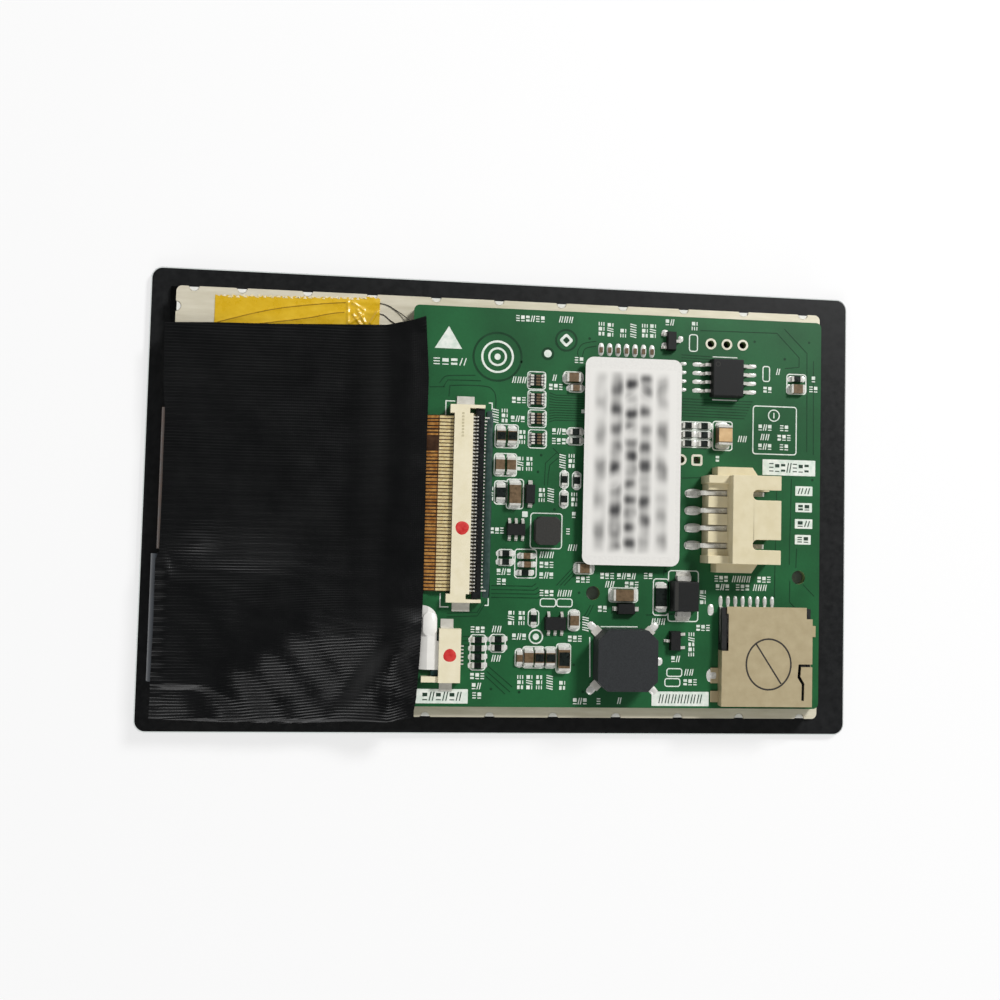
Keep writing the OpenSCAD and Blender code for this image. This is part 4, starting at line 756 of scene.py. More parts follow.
class DISPLAY_OT_amber_tape(bpy.types.Operator):
    """Lays the amber tape over the two backlight leads"""

    bl_idname = "display.amber_tape"
    bl_label = "Amber tape and leads"

    def execute(self, context):
        self.add_tape()
        wires = add_piece("lead_wires", [tube(self.route(k), 0.07) for k in (0, 1)], "lead", smooth=50)
        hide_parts("backlight_leads")
        return {"FINISHED"}

    def route(self, k):
        """The lead's way from the lamp strip's tail, under the tape, and up to the board's corner."""
        tail = [(-44.6 + k, 21.6 - 1.4 * k, 4.62), (-44.2 + 0.9 * k, 23.0 - k, 4.62), (-43.4, 24.0 - 0.6 * k, 4.5)]
        return tail + LEADS[k]

    # Creases at the tape's right end: two places and a height, in millimetres
    creases = [
        ((-23.6, 24.0), (-23.75, 28.6), 0.12), ((-23.4, 25.4), (-21.6, 26.6), 0.2),
        ((-22.4, 27.4), (-21.3, 25.6), 0.16), ((-20.5, 25.5), (-19.5, 27.2), 0.24),
        ((-23.0, 28.3), (-21.5, 27.4), 0.14), ((-22.9, 26.6), (-21.9, 25.3), 0.18),
    ]

    def torn_edge(self, x):
        """The tape's upper edge: a slow rise to the right, a lifted corner and a saw of uneven teeth."""
        teeth = np.abs(((x * 1.55 + 0.35 * np.sin(x * 2.3)) % 1.0) - 0.5)
        return 28.62 + 0.028 * (x + 42.2) + 0.3 * hump(x + 20.7, 0.5) - 0.4 * teeth

    def add_tape(self):
        """z is the tray plus a bell over each lead, crossed folds at the right end and small crinkles."""
        u, v = np.meshgrid(np.linspace(0, 1, 300), np.linspace(0, 1, 56), indexing="xy")
        left, length, foot = -42.25, 23.05, 23.9
        x = left + length * u
        straight = 28.42 + 0.028 * (x + 42.2)
        y = foot + (straight - foot) * v + (self.torn_edge(x) - straight) * smooth_step(0.85, 1.0, v)
        z = np.full_like(x, TRAY_BACK)
        for k in (0, 1):
            line = rounded_path(self.route(k))
            line = line[(line[:, 0] > -43.5) & (line[:, 0] < -18.5)]
            z += 0.1 * hump(y - np.interp(x, line[:, 0], line[:, 1]), 0.3)
        for (a, b), (c, d), tall in self.creases:
            along = np.clip(((x - a) * (c - a) + (y - b) * (d - b)) / ((c - a) ** 2 + (d - b) ** 2), 0, 1)
            far = np.hypot(x - a - along * (c - a), y - b - along * (d - b))
            z += tall * hump(far, 0.2)
        z += 0.012 * np.sin(x * 3.1 + y) * np.sin(y * 4.3)
        z = np.maximum(z, TRAY_BACK)
        top = np.stack([x, y, z + 0.06], 2)
        bottom = np.stack([x, y, z + 0.002], 2)
        tape = add_piece("amber_tape", [closed_sheet(top, bottom)], "amber", smooth=40)
        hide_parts("polyimide_tape")
        # Pale flecks along the torn edge: painted glints on its lifted bits
        k = np.arange(34)
        at = -41.0 + 0.62 * k + 0.2 * np.sin(k * 2.1)
        size = 0.2 + 0.14 * np.sin(k * 1.7) ** 2
        low, high = TRAY_BACK, TRAY_BACK + 0.1
        flecks = [plate(np.array([[-w, -0.12], [w, -0.2 + 0.1 * w], [0.4 * w, 0.16]]) + [a, b - 0.02], low, high)
                  for a, w, b in zip(at, size, self.torn_edge(at))]
        add_piece("tape_flecks", flecks, "fleck")
        shades = [rounded_path(self.route(n)) for n in (0, 1)]
        shades = [path[(path[:, 0] > -42.2) & (path[:, 0] < -23.9), :2] for path in shades]
        lines = [ribbon(path, 0.13, TRAY_BACK + 0.15, TRAY_BACK + 0.175) for path in shades]
        add_piece("wire_shades", lines, "amber_shade")


class DISPLAY_OT_cloth_tape(bpy.types.Operator):
    """Drapes the ribbed cloth tape over both flex circuits"""

    bl_idname = "display.cloth_tape"
    bl_label = "Cloth tape"

    def execute(self, context):
        settings = context.scene.display_cloth
        hem = settings.columns // 5
        hem_share = 0.06
        across = np.concatenate([np.linspace(0, hem_share, hem, endpoint=False),
                                 np.linspace(hem_share, 1, settings.columns - hem)])
        u, v = np.meshgrid(across, np.linspace(0, 1, settings.rows), indexing="xy")
        x, y = self.plan(u, v)
        under = self.drape(x, y, u, v)
        over = under + settings.thickness + self.ribs(x, y, settings)
        sheet = add_piece("cloth_sheet", [closed_sheet(np.stack([x, y, over], 2), np.stack([x, y, under], 2))],
                          "cloth", smooth=70)
        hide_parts("cloth_tape")
        return {"FINISHED"}

    def plan(self, u, v):
        """A four-sided piece whose edges bend through a few points each; the upper right corner is drawn out."""
        level = -30.5 + 55.5 * v
        left = np.interp(level, [-30.5, -26.0, -17.0, -12.0, -8.4, -7.4, 2.0, 12.6, 16.6, 24.5],
                         [-48.95, -48.9, -48.75, -48.82, -48.85, -48.45, -48.35, -48.4, -48.75, -48.9])
        right = np.interp(level, [-29.7, -28.0, -24.7, -21.2, -16.6, -12.6, 6.7, 16.5, 20.2, 25.0],
                          [-12.87, -12.61, -12.41, -12.22, -12.08, -12.0, -12.09, -12.04, -12.28, -12.66])
        x = left + (right - left) * u
        low = np.interp(u, [0.0, 0.11, 0.26, 0.55, 0.77, 0.91, 1.0],
                        [-30.5, -30.62, -30.88, -31.0, -30.63, -30.5, -29.75])
        high = np.interp(u, [0.0, 0.2, 0.42, 0.61, 0.75, 0.85, 0.94, 1.0],
                         [24.32, 24.58, 24.75, 25.0, 25.15, 25.1, 25.75, 26.38])
        return x, low + (high - low) * v

    def off_fold(self, x, y):
        """Distance from the slanted fold, a line of slope 1.29 through (-21, -25.4)."""
        return (1.29 * (x + 21.0) - (y + 25.4)) / 1.63

    def drape(self, x, y, u, v):
        """Flat over the tray, an S-shaped rise onto the board, and bells and steps where the circuits lift it."""
        z = 4.80 + 1.75 * smooth_step(-23.5, -14.5, x)
        z -= 0.05 * smooth_step(-47.6, -49.0, x)
        upper = -11.0 + 3.4 * smooth_step(-45.5, -48.8, x) - 2.4 * smooth_step(-42.0, -33.0, x)
        wide = 1.1 + 1.7 * smooth_step(-43.0, -34.0, x) + 1.0 * smooth_step(-45.0, -47.6, x)
        fall = 0.75 + 3.5 * smooth_step(-41.0, -35.0, x)
        lower = -25.9 - 1.9 * smooth_step(-43.0, -37.5, x)
        band = smooth_step(upper + wide, upper - wide, y) * smooth_step(lower - fall, lower + 0.35, y)
        z += 0.46 * band * smooth_step(-12.0, -30.0, x) ** 0.5
        z -= 0.2 * band * smooth_step(-46.8, -48.9, x)
        z += 0.5 * bell(x, y, (-43.6, -6.3), 2.2, 1.3) + 0.22 * bell(x, y, (-38.5, -8.6), 6.0, 1.7)
        z -= 0.12 * bell(x, y, (-42.6, -4.4), 2.6, 0.8)
        z += 0.45 * bell(x, y, (-22.6, -19.3), 3.6, 1.7) + 0.2 * bell(x, y, (-29.0, -22.5), 5.0, 2.2)
        off = self.off_fold(x, y)
        span = smooth_step(-31.0, -27.5, y) * smooth_step(-17.0, -22.0, y)
        z += span * (0.4 * hump(off - 1.5, 1.4) - 0.2 * hump(off + 1.2, 1.2))
        z += 0.34 * smooth_step(-24.0, -13.5, x) * smooth_step(-14.0, -17.2, y) * smooth_step(-27.5, -22.0, y)
        z += 0.22 * bell(x, y, (-13.9, -16.9), 1.3, 1.0) - 0.12 * bell(x, y, (-14.4, -14.0), 1.8, 1.1)
        z -= 0.14 * hump(y - 10.0 + 0.14 * (x + 49.0), 1.9) * smooth_step(-25.0, -36.0, x)
        z += 0.08 * np.sin(x * 0.37 + 1.0) * np.sin(y * 0.21 + 0.4)
        z += 0.7 * smooth_step(0.95, 1.0, u) * smooth_step(0.955, 1.0, v)
        floor = 4.62 + 1.93 * smooth_step(-17.6, -15.3, x) - 0.35 * smooth_step(-30.1, -30.8, y)
        return np.maximum(z - 0.3 * smooth_step(-30.3, -30.9, y), floor)

    def ribs(self, x, y, settings):
        """One set of embossed ribs, bent by the folds: low over most of the tape, high in its lower third and hem."""
        fold = smooth_step(-6.0, -18.0, y)
        rise = fold * (2.3 * smooth_step(-46.0, -19.0, x) - 0.6 * smooth_step(-19.0, -12.0, x))
        wander = 0.1 * np.sin(x * 0.31 + y * 0.07)
        wander += fold * (0.2 * np.sin(x * 0.43 - y * 0.3) + 0.08 * np.sin(x * 1.1 + y * 0.9))
        phase = (y - rise) / settings.rib_pitch + wander
        row = np.floor(phase)
        fade = 0.84 + 0.16 * np.sin(x * (0.33 + 0.07 * np.sin(row * 1.9)) + row * 2.4)
        wave = (0.5 + 0.5 * np.cos(2 * math.pi * (phase - 0.5))) ** 1.3
        edge = 1 - smooth_step(-48.2, -46.8, x)
        right = smooth_step(-24.0, -17.0, x) * smooth_step(0.0, 10.0, y)
        dent = bell(x, y, (-38.0, -7.0), 8.0, 3.4)
        left = bell(x, y, (-46.0, 18.0), 5.0, 7.5)
        strength = 0.5 + 0.4 * right + 0.4 * dent + 0.3 * left
        start = np.interp(x, [-49.0, -43.0, -38.0, -30.0, -22.0, -12.0], [-26.2, -25.4, -22.0, -16.4, -15.2, -17.0])
        off = self.off_fold(x, y)
        low = smooth_step(start, start - 4.5, y) * (1 - 0.75 * hump(off, 1.2))
        low *= np.interp(x, [-49.0, -44.5, -41.0, -35.0, -28.0, -20.0, -15.5, -12.0],
                         [0.6, 0.7, 1.4, 1.35, 0.62, 0.7, 1.5, 1.5])
        hem = edge * smooth_step(-7.0, -11.0, y) * (0.5 + 0.5 * np.cos(2 * math.pi * y / settings.hem_pitch))
        height = settings.rib_height * strength + settings.crease_height * low * fade
        return height * wave + 0.6 * settings.crease_height * hem * (1 - low)


class DISPLAY_OT_flex(bpy.types.Operator):
    """Adds the copper tracks and bare fingers of the display's flex circuit"""

    bl_idname = "display.flex"
    bl_label = "Flex circuits"

    def execute(self, context):
        give("flex", "display_flex")
        give("touch_flex", "touch_flex")
        ways, pitch, middle = 50, 0.495, 0.1
        rows = np.arange(ways)
        y = middle + (rows - (ways - 1) / 2) * pitch
        bare = (rows >= 40) & (rows <= 43)
        fingers = [self.strip(-10.35, -8.35, b, 0.34) for b in y]
        wide = 0.22 + 0.16 * (0.5 + 0.5 * np.sin(rows * 2.7)) * (rows % 3 != 0)
        tracks = [self.strip(-12.62, -10.35, b, w) for b, w, gap in zip(y, wide, bare) if not gap]
        add_piece("flex_fingers", fingers, "gold")
        add_piece("flex_tracks", tracks, "copper")
        return {"FINISHED"}

    def strip(self, start, end, y, width):
        """A thin bar along X that follows the flex circuit's slope up to its stiffener."""
        steps, bend = 8, -10.5
        x = np.linspace(start, end, steps)
        z = np.where(x > bend, 7.0, np.interp(x, [-12.65, bend], [6.37, 6.93]))
        across = np.array([-0.5, 0.5]) * width
        top = np.stack([np.tile(x, (2, 1)), np.tile((y + across)[:, None], (1, steps)), np.tile(z + 0.02, (2, 1))], 2)
        return closed_sheet(top, top - [0.0, 0.0, 0.03])


class DISPLAY_OT_board(bpy.types.Operator):
    """Prints the board: tracks, outlines, white blocks and small marks"""

    bl_idname = "display.board"
    bl_label = "Printed board"

    outlines = [
        (-0.73, 9.85, 3.3, 3.3), (-0.81, 5.76, 3.2, 3.2), (-4.1, -20.8, 2.16, 4.93), (-1.3, -19.5, 2.1, 2.5),
        (3.4, 18.0, 2.6, 2.5), (3.5, 15.3, 2.6, 2.5), (3.6, 12.5, 2.6, 2.5), (3.7, 9.6, 2.6, 2.6),
        (0.65, 1.65, 2.4, 4.2), (-1.4, 1.8, 1.75, 3.3), (5.25, -3.5, 4.5, 5.0), (-0.5, -7.4, 2.16, 2.26),
        (2.4, -8.2, 3.07, 4.04), (10.8, -8.7, 2.83, 1.6), (5.73, -13.67, 2.2, 1.1), (8.11, -13.65, 2.2, 1.1),
        (9.5, -16.1, 1.6, 2.83), (3.7, -15.9, 1.5, 2.2), (1.8, -21.5, 1.15, 2.4), (3.85, -21.4, 3.1, 3.0),
        (6.2, -21.4, 1.6, 3.0), (8.1, -21.5, 2.05, 4.1), (16.6, -12.4, 4.2, 2.0), (22.1, -12.6, 2.2, 5.2),
        (25.4, -12.4, 4.4, 7.25), (24.26, -23.34, 2.2, 1.1), (24.0, -24.76, 2.2, 1.1), (26.37, 24.41, 1.2, 2.44),
        (42.0, 18.95, 2.9, 2.9), (38.77, 12.02, 6.55, 7.02), (30.9, 10.95, 2.9, 4.2), (26.9, 12.3, 4.6, 1.1),
        (26.9, 11.0, 4.6, 1.1), (26.9, 9.7, 4.6, 1.1), (7.7, 3.9, 1.2, 2.3), (9.5, 3.8, 1.2, 2.3), (7.7, 1.1, 1.2, 2.3),
        (9.2, 10.8, 2.2, 1.15), (9.2, 9.5, 2.2, 1.15), (8.7, 18.6, 2.7, 1.7), (9.1, 17.1, 2.1, 1.1),
        (37.4, 20.3, 1.0, 2.2),
    ]
    blocks = [
        (-9.0, -26.95, 7.3, 2.0), (41.0, 6.6, 8.0, 2.3), (43.3, 3.24, 2.6, 1.4), (43.3, 0.82, 2.5, 1.35),
        (43.3, -1.57, 2.66, 1.4), (43.2, -3.88, 2.4, 1.4), (25.19, -27.08, 8.39, 2.05),
    ]
    vias = [
        (35.6, 25.0), (40.2, 22.6), (43.9, 25.2), (11.0, 24.4), (1.2, 20.6), (4.3, 7.3), (3.9, 4.9), (6.4, -0.4),
        (10.2, -12.2), (1.9, -26.3), (9.6, -22.4), (-2.1, -25.9), (11.0, -26.2), (22.8, -8.9), (44.6, 4.9),
    ]
    # Generic place marks: x, y, number of strokes, turn in degrees
    marks = [
        (2.3, 26.9, 6, 0), (7.5, 27.0, 3, 0), (12.7, 25.9, 3, 90), (14.0, 25.8, 3, 90), (15.9, 25.4, 2, 90),
        (17.4, 25.8, 3, 90), (19.1, 25.9, 3, 90), (20.3, 25.9, 3, 90), (9.5, 21.2, 2, 0), (0.9, 18.0, 3, 0),
        (0.9, 15.1, 3, 0), (0.8, 12.4, 3, 0), (1.5, 9.8, 3, 90), (6.0, 18.5, 1, 0), (6.2, 17.2, 3, 0),
        (6.8, 10.8, 3, 0), (6.8, 9.4, 3, 0), (-2.4, 12.7, 3, 90), (-1.1, 12.8, 3, 90), (1.3, 6.0, 3, 90),
        (2.6, 6.0, 3, 90), (7.4, 6.5, 3, 90), (8.7, 6.6, 3, 90), (-2.9, 1.6, 3, 90), (4.5, 1.6, 3, 90),
        (5.8, 1.6, 3, 90), (9.2, 1.1, 3, 90), (9.2, -1.1, 1, 0), (8.4, -3.5, 1, 0), (9.1, -5.8, 2, 0),
        (-1.8, -3.6, 3, 0), (-0.7, -9.4, 3, 0), (-1.0, -10.8, 2, 0), (5.4, -6.9, 3, 0), (5.4, -8.3, 3, 0),
        (5.4, -9.8, 3, 0), (5.5, -12.3, 3, 0), (8.1, -12.3, 3, 0), (10.7, -10.3, 3, 0), (0.5, -15.9, 3, 90),
        (2.0, -15.9, 3, 90), (11.2, -16.6, 3, 90), (9.7, -18.7, 3, 0), (1.7, -18.5, 3, 0), (-4.2, -17.6, 3, 0),
        (-1.5, -17.5, 2, 0), (-4.1, -24.1, 3, 0), (-4.2, -25.5, 2, 0), (-4.1, -26.8, 2, 0), (-1.5, -21.6, 2, 0),
        (2.0, -24.9, 3, 90), (3.3, -24.9, 3, 90), (4.7, -24.9, 3, 90), (6.2, -24.9, 3, 90), (8.0, -25.3, 2, 90),
        (10.6, -27.5, 3, 0), (13.3, -27.5, 1, 0), (16.3, -27.4, 1, 0), (13.6, -14.4, 2, 0),
        (22.8, 27.3, 2, 0), (26.5, 26.9, 2, 90), (39.2, 20.7, 1, 0), (37.6, 18.0, 2, 0), (44.6, 19.8, 1, 0),
        (44.6, 18.3, 2, 0), (33.9, 10.6, 2, 0), (30.2, 7.6, 1, 0), (37.3, 12.4, 3, 0), (40.2, 12.4, 2, 0),
        (37.3, 11.0, 2, 0), (40.2, 11.0, 3, 0), (37.3, 9.6, 3, 0), (40.2, 9.6, 2, 0), (21.8, -16.1, 3, 0),
        (28.4, -16.9, 3, 0), (24.4, -21.4, 2, 0), (26.7, -19.3, 5, 90), (26.4, -23.3, 2, 0), (26.6, -24.7, 3, 0),
        (28.3, -12.5, 3, 90), (31.0, -9.8, 3, 0), (34.0, -9.8, 4, 0), (37.4, -9.8, 3, 0), (31.2, -11.0, 3, 0),
        (34.2, -11.0, 3, 0), (36.8, -11.0, 3, 0), (14.2, -9.7, 3, 0), (17.0, -9.7, 4, 0), (20.2, -9.6, 2, 0),
        (14.6, -10.9, 2, 0), (17.8, -10.9, 3, 0), (10.4, 13.8, 1, 90),
    ]

    def execute(self, context):
        settings = context.scene.display_print
        give("mask", "circuit_board")
        low, high = BOARD_TOP, BOARD_TOP + settings.ink_height
        line = settings.ink_line
        ink = [placed(ribbon(rounded_outline(w, h, min(0.4, 0.3 * min(w, h))), line, low, high, True), (x, y))
               for x, y, w, h in self.outlines]
        ink += [placed(plate(rounded_outline(w, h, 0.08, 2), low, high), (x, y)) for x, y, w, h in self.blocks]
        for number, (x, y, count, turn) in enumerate(self.marks):
            ink += self.stroke_row(x, y, count, turn, number, low, high)
        ink += self.stroke_row(-9.1, 20.25, 4, 0, 0, low, high, 1.05, 1.25)
        ink += self.symbols(low, high, line)
        add_piece("white_print", ink, "ink")
        bars = []
        for number, (x, y, w, h) in enumerate(self.blocks):
            count = max(2, round(w / 1.15))
            bars += self.stroke_row(x, y, count, 0, number + 3, low, high + 0.01, 0.62 * h, 0.78 * w / count)
        add_piece("print_bars", bars, "dark_ink")
        gaps = [ribbon(path, settings.track_line, low, low + 0.015) for path in self.tracks()]
        for radius, steps, at in ((3.45, 72, TARGET), (1.5, 36, DIAMOND), (0.78, 36, DOT)):
            gaps.append(ribbon(circle(radius, steps, at), 0.3, low, low + 0.02, True))
        gaps.append(placed(plate(rounded_outline(0.75, 0.75, 0.15), low, high + 0.01), DIAMOND, 45))
        gaps += [plate(circle(0.2, 10, at), low, low + 0.02) for at in self.vias]
        add_piece("track_gaps", gaps, "track")
        add_piece("plated_rings", self.rings(low), "plating")
        # A grey disc under each tool hole: painted shade for the dark seen down the hole
        dark = [plate(circle(1.3, 24, at), TRAY_BACK, TRAY_BACK + 0.05) for at in ((12.2, -12.2), (42.6, -9.4))]
        add_piece("hole_shade_disc", dark, "hole_shade_grey")
        return {"FINISHED"}

    def stroke_row(self, x, y, count, turn, seed, low, high, tall=0.92, step=0.72):
        """A row of plain marks: by turns stacked dashes, slanted strokes, a split block and a block over a dash."""
        w, h = step * 0.36, tall / 2

        def dash(at, line):
            return ribbon([(-w, at), (w, at)], line, low, high)

        kinds = [
            [dash(0.76 * h, 0.15), dash(0.0, 0.15), dash(-0.76 * h, 0.15)],
            [ribbon([(-w, -h), (-0.2 * w, h)], 0.15, low, high), ribbon([(0.3 * w, -h), (w, h)], 0.15, low, high)],
            [dash(0.5 * h, 0.36), dash(-0.62 * h, 0.3)],
            [dash(0.34 * h, 0.5), dash(-0.8 * h, 0.14)],
        ]
        row = []
        for k in range(count):
            shift = ((k - (count - 1) / 2) * step, 0.0)
            row += [placed(placed(mark, shift), (x, y), turn) for mark in kinds[(k * 3 + seed * 5 + k * seed) % 4]]
        return row

    def symbols(self, low, high, line):
        """Plain printed signs: a pointer, a target, connector corners, pad frames and lines beside the tape."""
        pointer = [(-11.3, 22.1), (-7.4, 22.1), (-9.35, 25.3)]
        parts = [plate(pointer, low, high)]
        parts += [ribbon(circle(r, 48, TARGET), 0.3, low, high, True) for r in (1.2, 2.2)]
        parts.append(plate(circle(0.45, 20, TARGET), low, high))
        parts.append(ribbon(circle(0.82, 28, (38.63, 14.2)), line, low, high, True))
        parts.append(ribbon([(38.63, 13.8), (38.63, 14.6)], line, low, high))
        corners = [
            [(-9.5, 12.2), (-9.5, 14.6), (-8.2, 14.6)], [(-3.4, 14.5), (-2.9, 14.5), (-2.9, 13.6)],
            [(-9.6, -12.6), (-9.6, -14.5), (-8.4, -14.5)], [(-3.3, -14.2), (-2.8, -14.2), (-2.8, -13.2)],
            [(-12.3, 12.9), (-12.25, 16.0)], [(-12.3, -12.9), (-12.35, -15.2)],
            [(11.85, -18.45), (11.98, -24.1)], [(13.4, -16.95), (18.8, -16.9)],
            [(29.3, 22.5), (33.0, 22.5)], [(29.3, 16.2), (33.0, 16.2)],
        ]
        parts += [ribbon(path, line, low, high) for path in corners]
        parts.append(placed(plate(rounded_outline(1.5, 1.5, 0.35), low, high), DIAMOND, 45))
        parts.append(plate(circle(0.55, 20, DOT), low, high))
        parts.append(plate(rounded_outline(0.8, 0.8, 0.1) + [2.15, -1.2], low, high))
        parts.append(ribbon(circle(0.95, 24, TEST_PAD), 0.2, low, high, True))
        parts.append(plate(circle(0.45, 16, TEST_PAD), low, high))
        return parts

    def tracks(self):
        """Gaps beside copper tracks, as runs of straight lines with cut corners."""
        paths = [
            [(27.4, 26.3), (39.0, 26.4), (42.4, 22.9), (42.4, 21.5), (40.2, 21.2)],
            [(40.1, 27.1), (43.6, 23.6), (43.7, 9.0)], [(44.6, 22.5), (44.7, 8.6)],
            rounded_path([(9.42, 21.6), (9.3, 22.5), (10.05, 23.6), (12.0, 24.05)], 4),
            rounded_path([(9.95, 21.7), (10.4, 22.9), (12.0, 23.35)], 4),
            [(43.3, -10.4), (45.0, -12.1)], [(41.3, -9.9), (41.3, -13.0), (42.6, -14.3)], [(41.4, 5.0), (41.2, -7.6)],
            [(42.3, -5.2), (42.2, -8.0)], [(39.2, 5.0), (39.0, -12.4)],
            [(-2.6, -22.7), (0.9, -25.6)], [(-2.8, -23.4), (0.6, -26.3)], [(-2.9, -24.1), (-0.1, -26.6)],
            [(5.3, 3.0), (5.4, 4.6), (5.6, 5.95), (7.0, 7.2)], [(4.85, 3.0), (4.95, 6.2), (6.5, 7.7)],
            [(5.95, 8.4), (7.0, 7.4)],
            [(24.7, -3.0), (22.5, -8.8), (22.5, -9.6)], [(24.5, 4.6), (28.4, 4.8)], [(20.0, -15.2), (24.5, -15.0)],
        ]
        paths += [
            rounded_path([(-9.1, 15.2), (-9.0, 16.5), (-8.5, 16.85), (-4.1, 16.9), (-2.8, 16.3), (-2.4, 15.2),
                          (-2.4, 13.4)], 4),
            rounded_path([(-9.9, 16.6), (-9.4, 17.45), (-8.8, 17.6), (-4.6, 17.65)], 4), [(-11.9, 16.5), (-9.7, 16.6)],
            rounded_path([(-10.5, 17.1), (-10.0, 17.8), (-9.2, 18.2), (-5.4, 18.4)], 4),
        ]
        paths += [[(5.3, 16.3 - 0.42 * k), (6.2, 16.0 - 0.36 * k), (10.4, 16.0 - 0.36 * k)] for k in range(11)]
        paths += [[(-2.4, -11.4 - 0.55 * k), (3.4 + 0.3 * k, -11.4 - 0.55 * k), (4.0 + 0.3 * k, -11.0 - 0.55 * k)]
                  for k in range(4)]
        paths += [[(6.9 + 0.55 * k, -11.2), (9.6 + 0.4 * k, -8.2 - 0.2 * k)] for k in range(3)]
        paths += [[(-3.4 + 0.4 * k, -13.6), (-4.3, -15.2 - 0.5 * k), (-8.6, -15.4 - 0.5 * k)] for k in range(2)]
        paths += [[(24.6, 16.2 - 0.42 * k), (35.4 - 0.2 * k, 16.1 - 0.42 * k)] for k in range(7)]
        paths += [[(24.6, 22.6 - 0.4 * k), (29.0, 22.5 - 0.4 * k)] for k in range(3)]
        paths += [[(10.3 + 0.5 * k, -16.4), (11.2 + 0.5 * k, -15.2), (11.9 + 0.4 * k, -13.9)] for k in range(2)]
        paths += [[(-5.4, -18.6 - 0.6 * k), (-6.3, -18.6 - 0.6 * k)] for k in range(3)]
        return paths

    def rings(self, low):
        """Plated rims round the holes and vias, a square one among them."""
        parts = [ribbon(circle(0.66, 24, at), 0.3, low, low + 0.04, True)
                 for at in ((29.0, 24.4), (31.4, 24.4), (33.8, 24.4), (24.8, 7.3))]
        parts.append(placed(ribbon(rounded_outline(1.34, 1.34, 0.2), 0.32, low, low + 0.04, True), (27.15, 7.3)))
        return parts


class DISPLAY_OT_solder(bpy.types.Operator):
    """Adds the solder pads and the fillets against every chip's ends"""

    bl_idname = "display.solder"
    bl_label = "Solder"

    def execute(self, context):
        pads, fillets = [], []
        for kind, spots in CHIPS.items():
            length, width, tall = CHIP_TYPES[kind]
            pad = self.pad((length / 2 + 0.12, 0.0), (0.9, width * 1.08), 0.07)
            joint = placed(fillet(0.42, width * 0.9, BOARD_TOP + 0.02, BOARD_TOP + 0.8 * tall), (length / 2, 0.0))
            for x, y, turn in spots:
                pads += [placed(pad, (x, y), turn + side) for side in (0, 180)]
                fillets += [placed(joint, (x, y), turn + side) for side in (0, 180)]
        lone = [
            (29.5, -14.3, 0.9, 1.65), (29.95, -23.7, 1.9, 2.0), (21.9, -21.8, 1.2, 1.2),
            (22.1, 25.7, 0.95, 0.95), (22.1, 23.85, 0.95, 0.95), (24.45, 24.9, 0.8, 0.9),
        ]
        lone += [(26.65, y, 2.5, 1.3) for y in HEADER_PINS]
        lone += [(30.95 + 1.1 * k, -13.0, 0.6, 1.5) for k in range(8)]
        lone += [(12.7 + 1.25 * k, 22.9, 0.85, 1.9) for k in range(7)]
        pads += [self.pad((x, y), (w, h), 0.16, 6, 0.2) for x, y, w, h in lone]
        for x, y in NETWORKS:
            pads += [self.pad((x + s * 1.02, y + (k - 1.5) * 0.5), (0.42, 0.5), 0.3) for s in (-1, 1) for k in range(4)]
        feet = [21.3 - 1.27 * k for k in range(4)]
        pads += [self.pad((x, y), (1.4, 0.62), 0.12) for x in (27.0, 35.2) for y in feet]
        pads += [self.pad((24.9, y), (1.0, 0.5), 0.1) for y in feet]
        pads += [self.pad((25.35, y), (2.3, 1.5), 0.14, 6) for y in (-9.6, -15.2)]
        pads += [self.pad((16.65 + a * 4.4, -21.4 + b * 4.4), (1.7, 1.1), 0.2, 6, turn=45 * a * b)
                 for a in (-1, 1) for b in (-1, 1)]
        add_piece("solder_pads", pads, "solder", smooth=60)
        add_piece("solder_fillets", fillets, "solder", smooth=40)
        return {"FINISHED"}

    def pad(self, at, size, tall, steps=4, rounding=0.14, turn=0.0):
        """A solder pad on the board."""
        return placed(pillow(*size, BOARD_TOP, BOARD_TOP + tall, steps, rounding), at, turn)


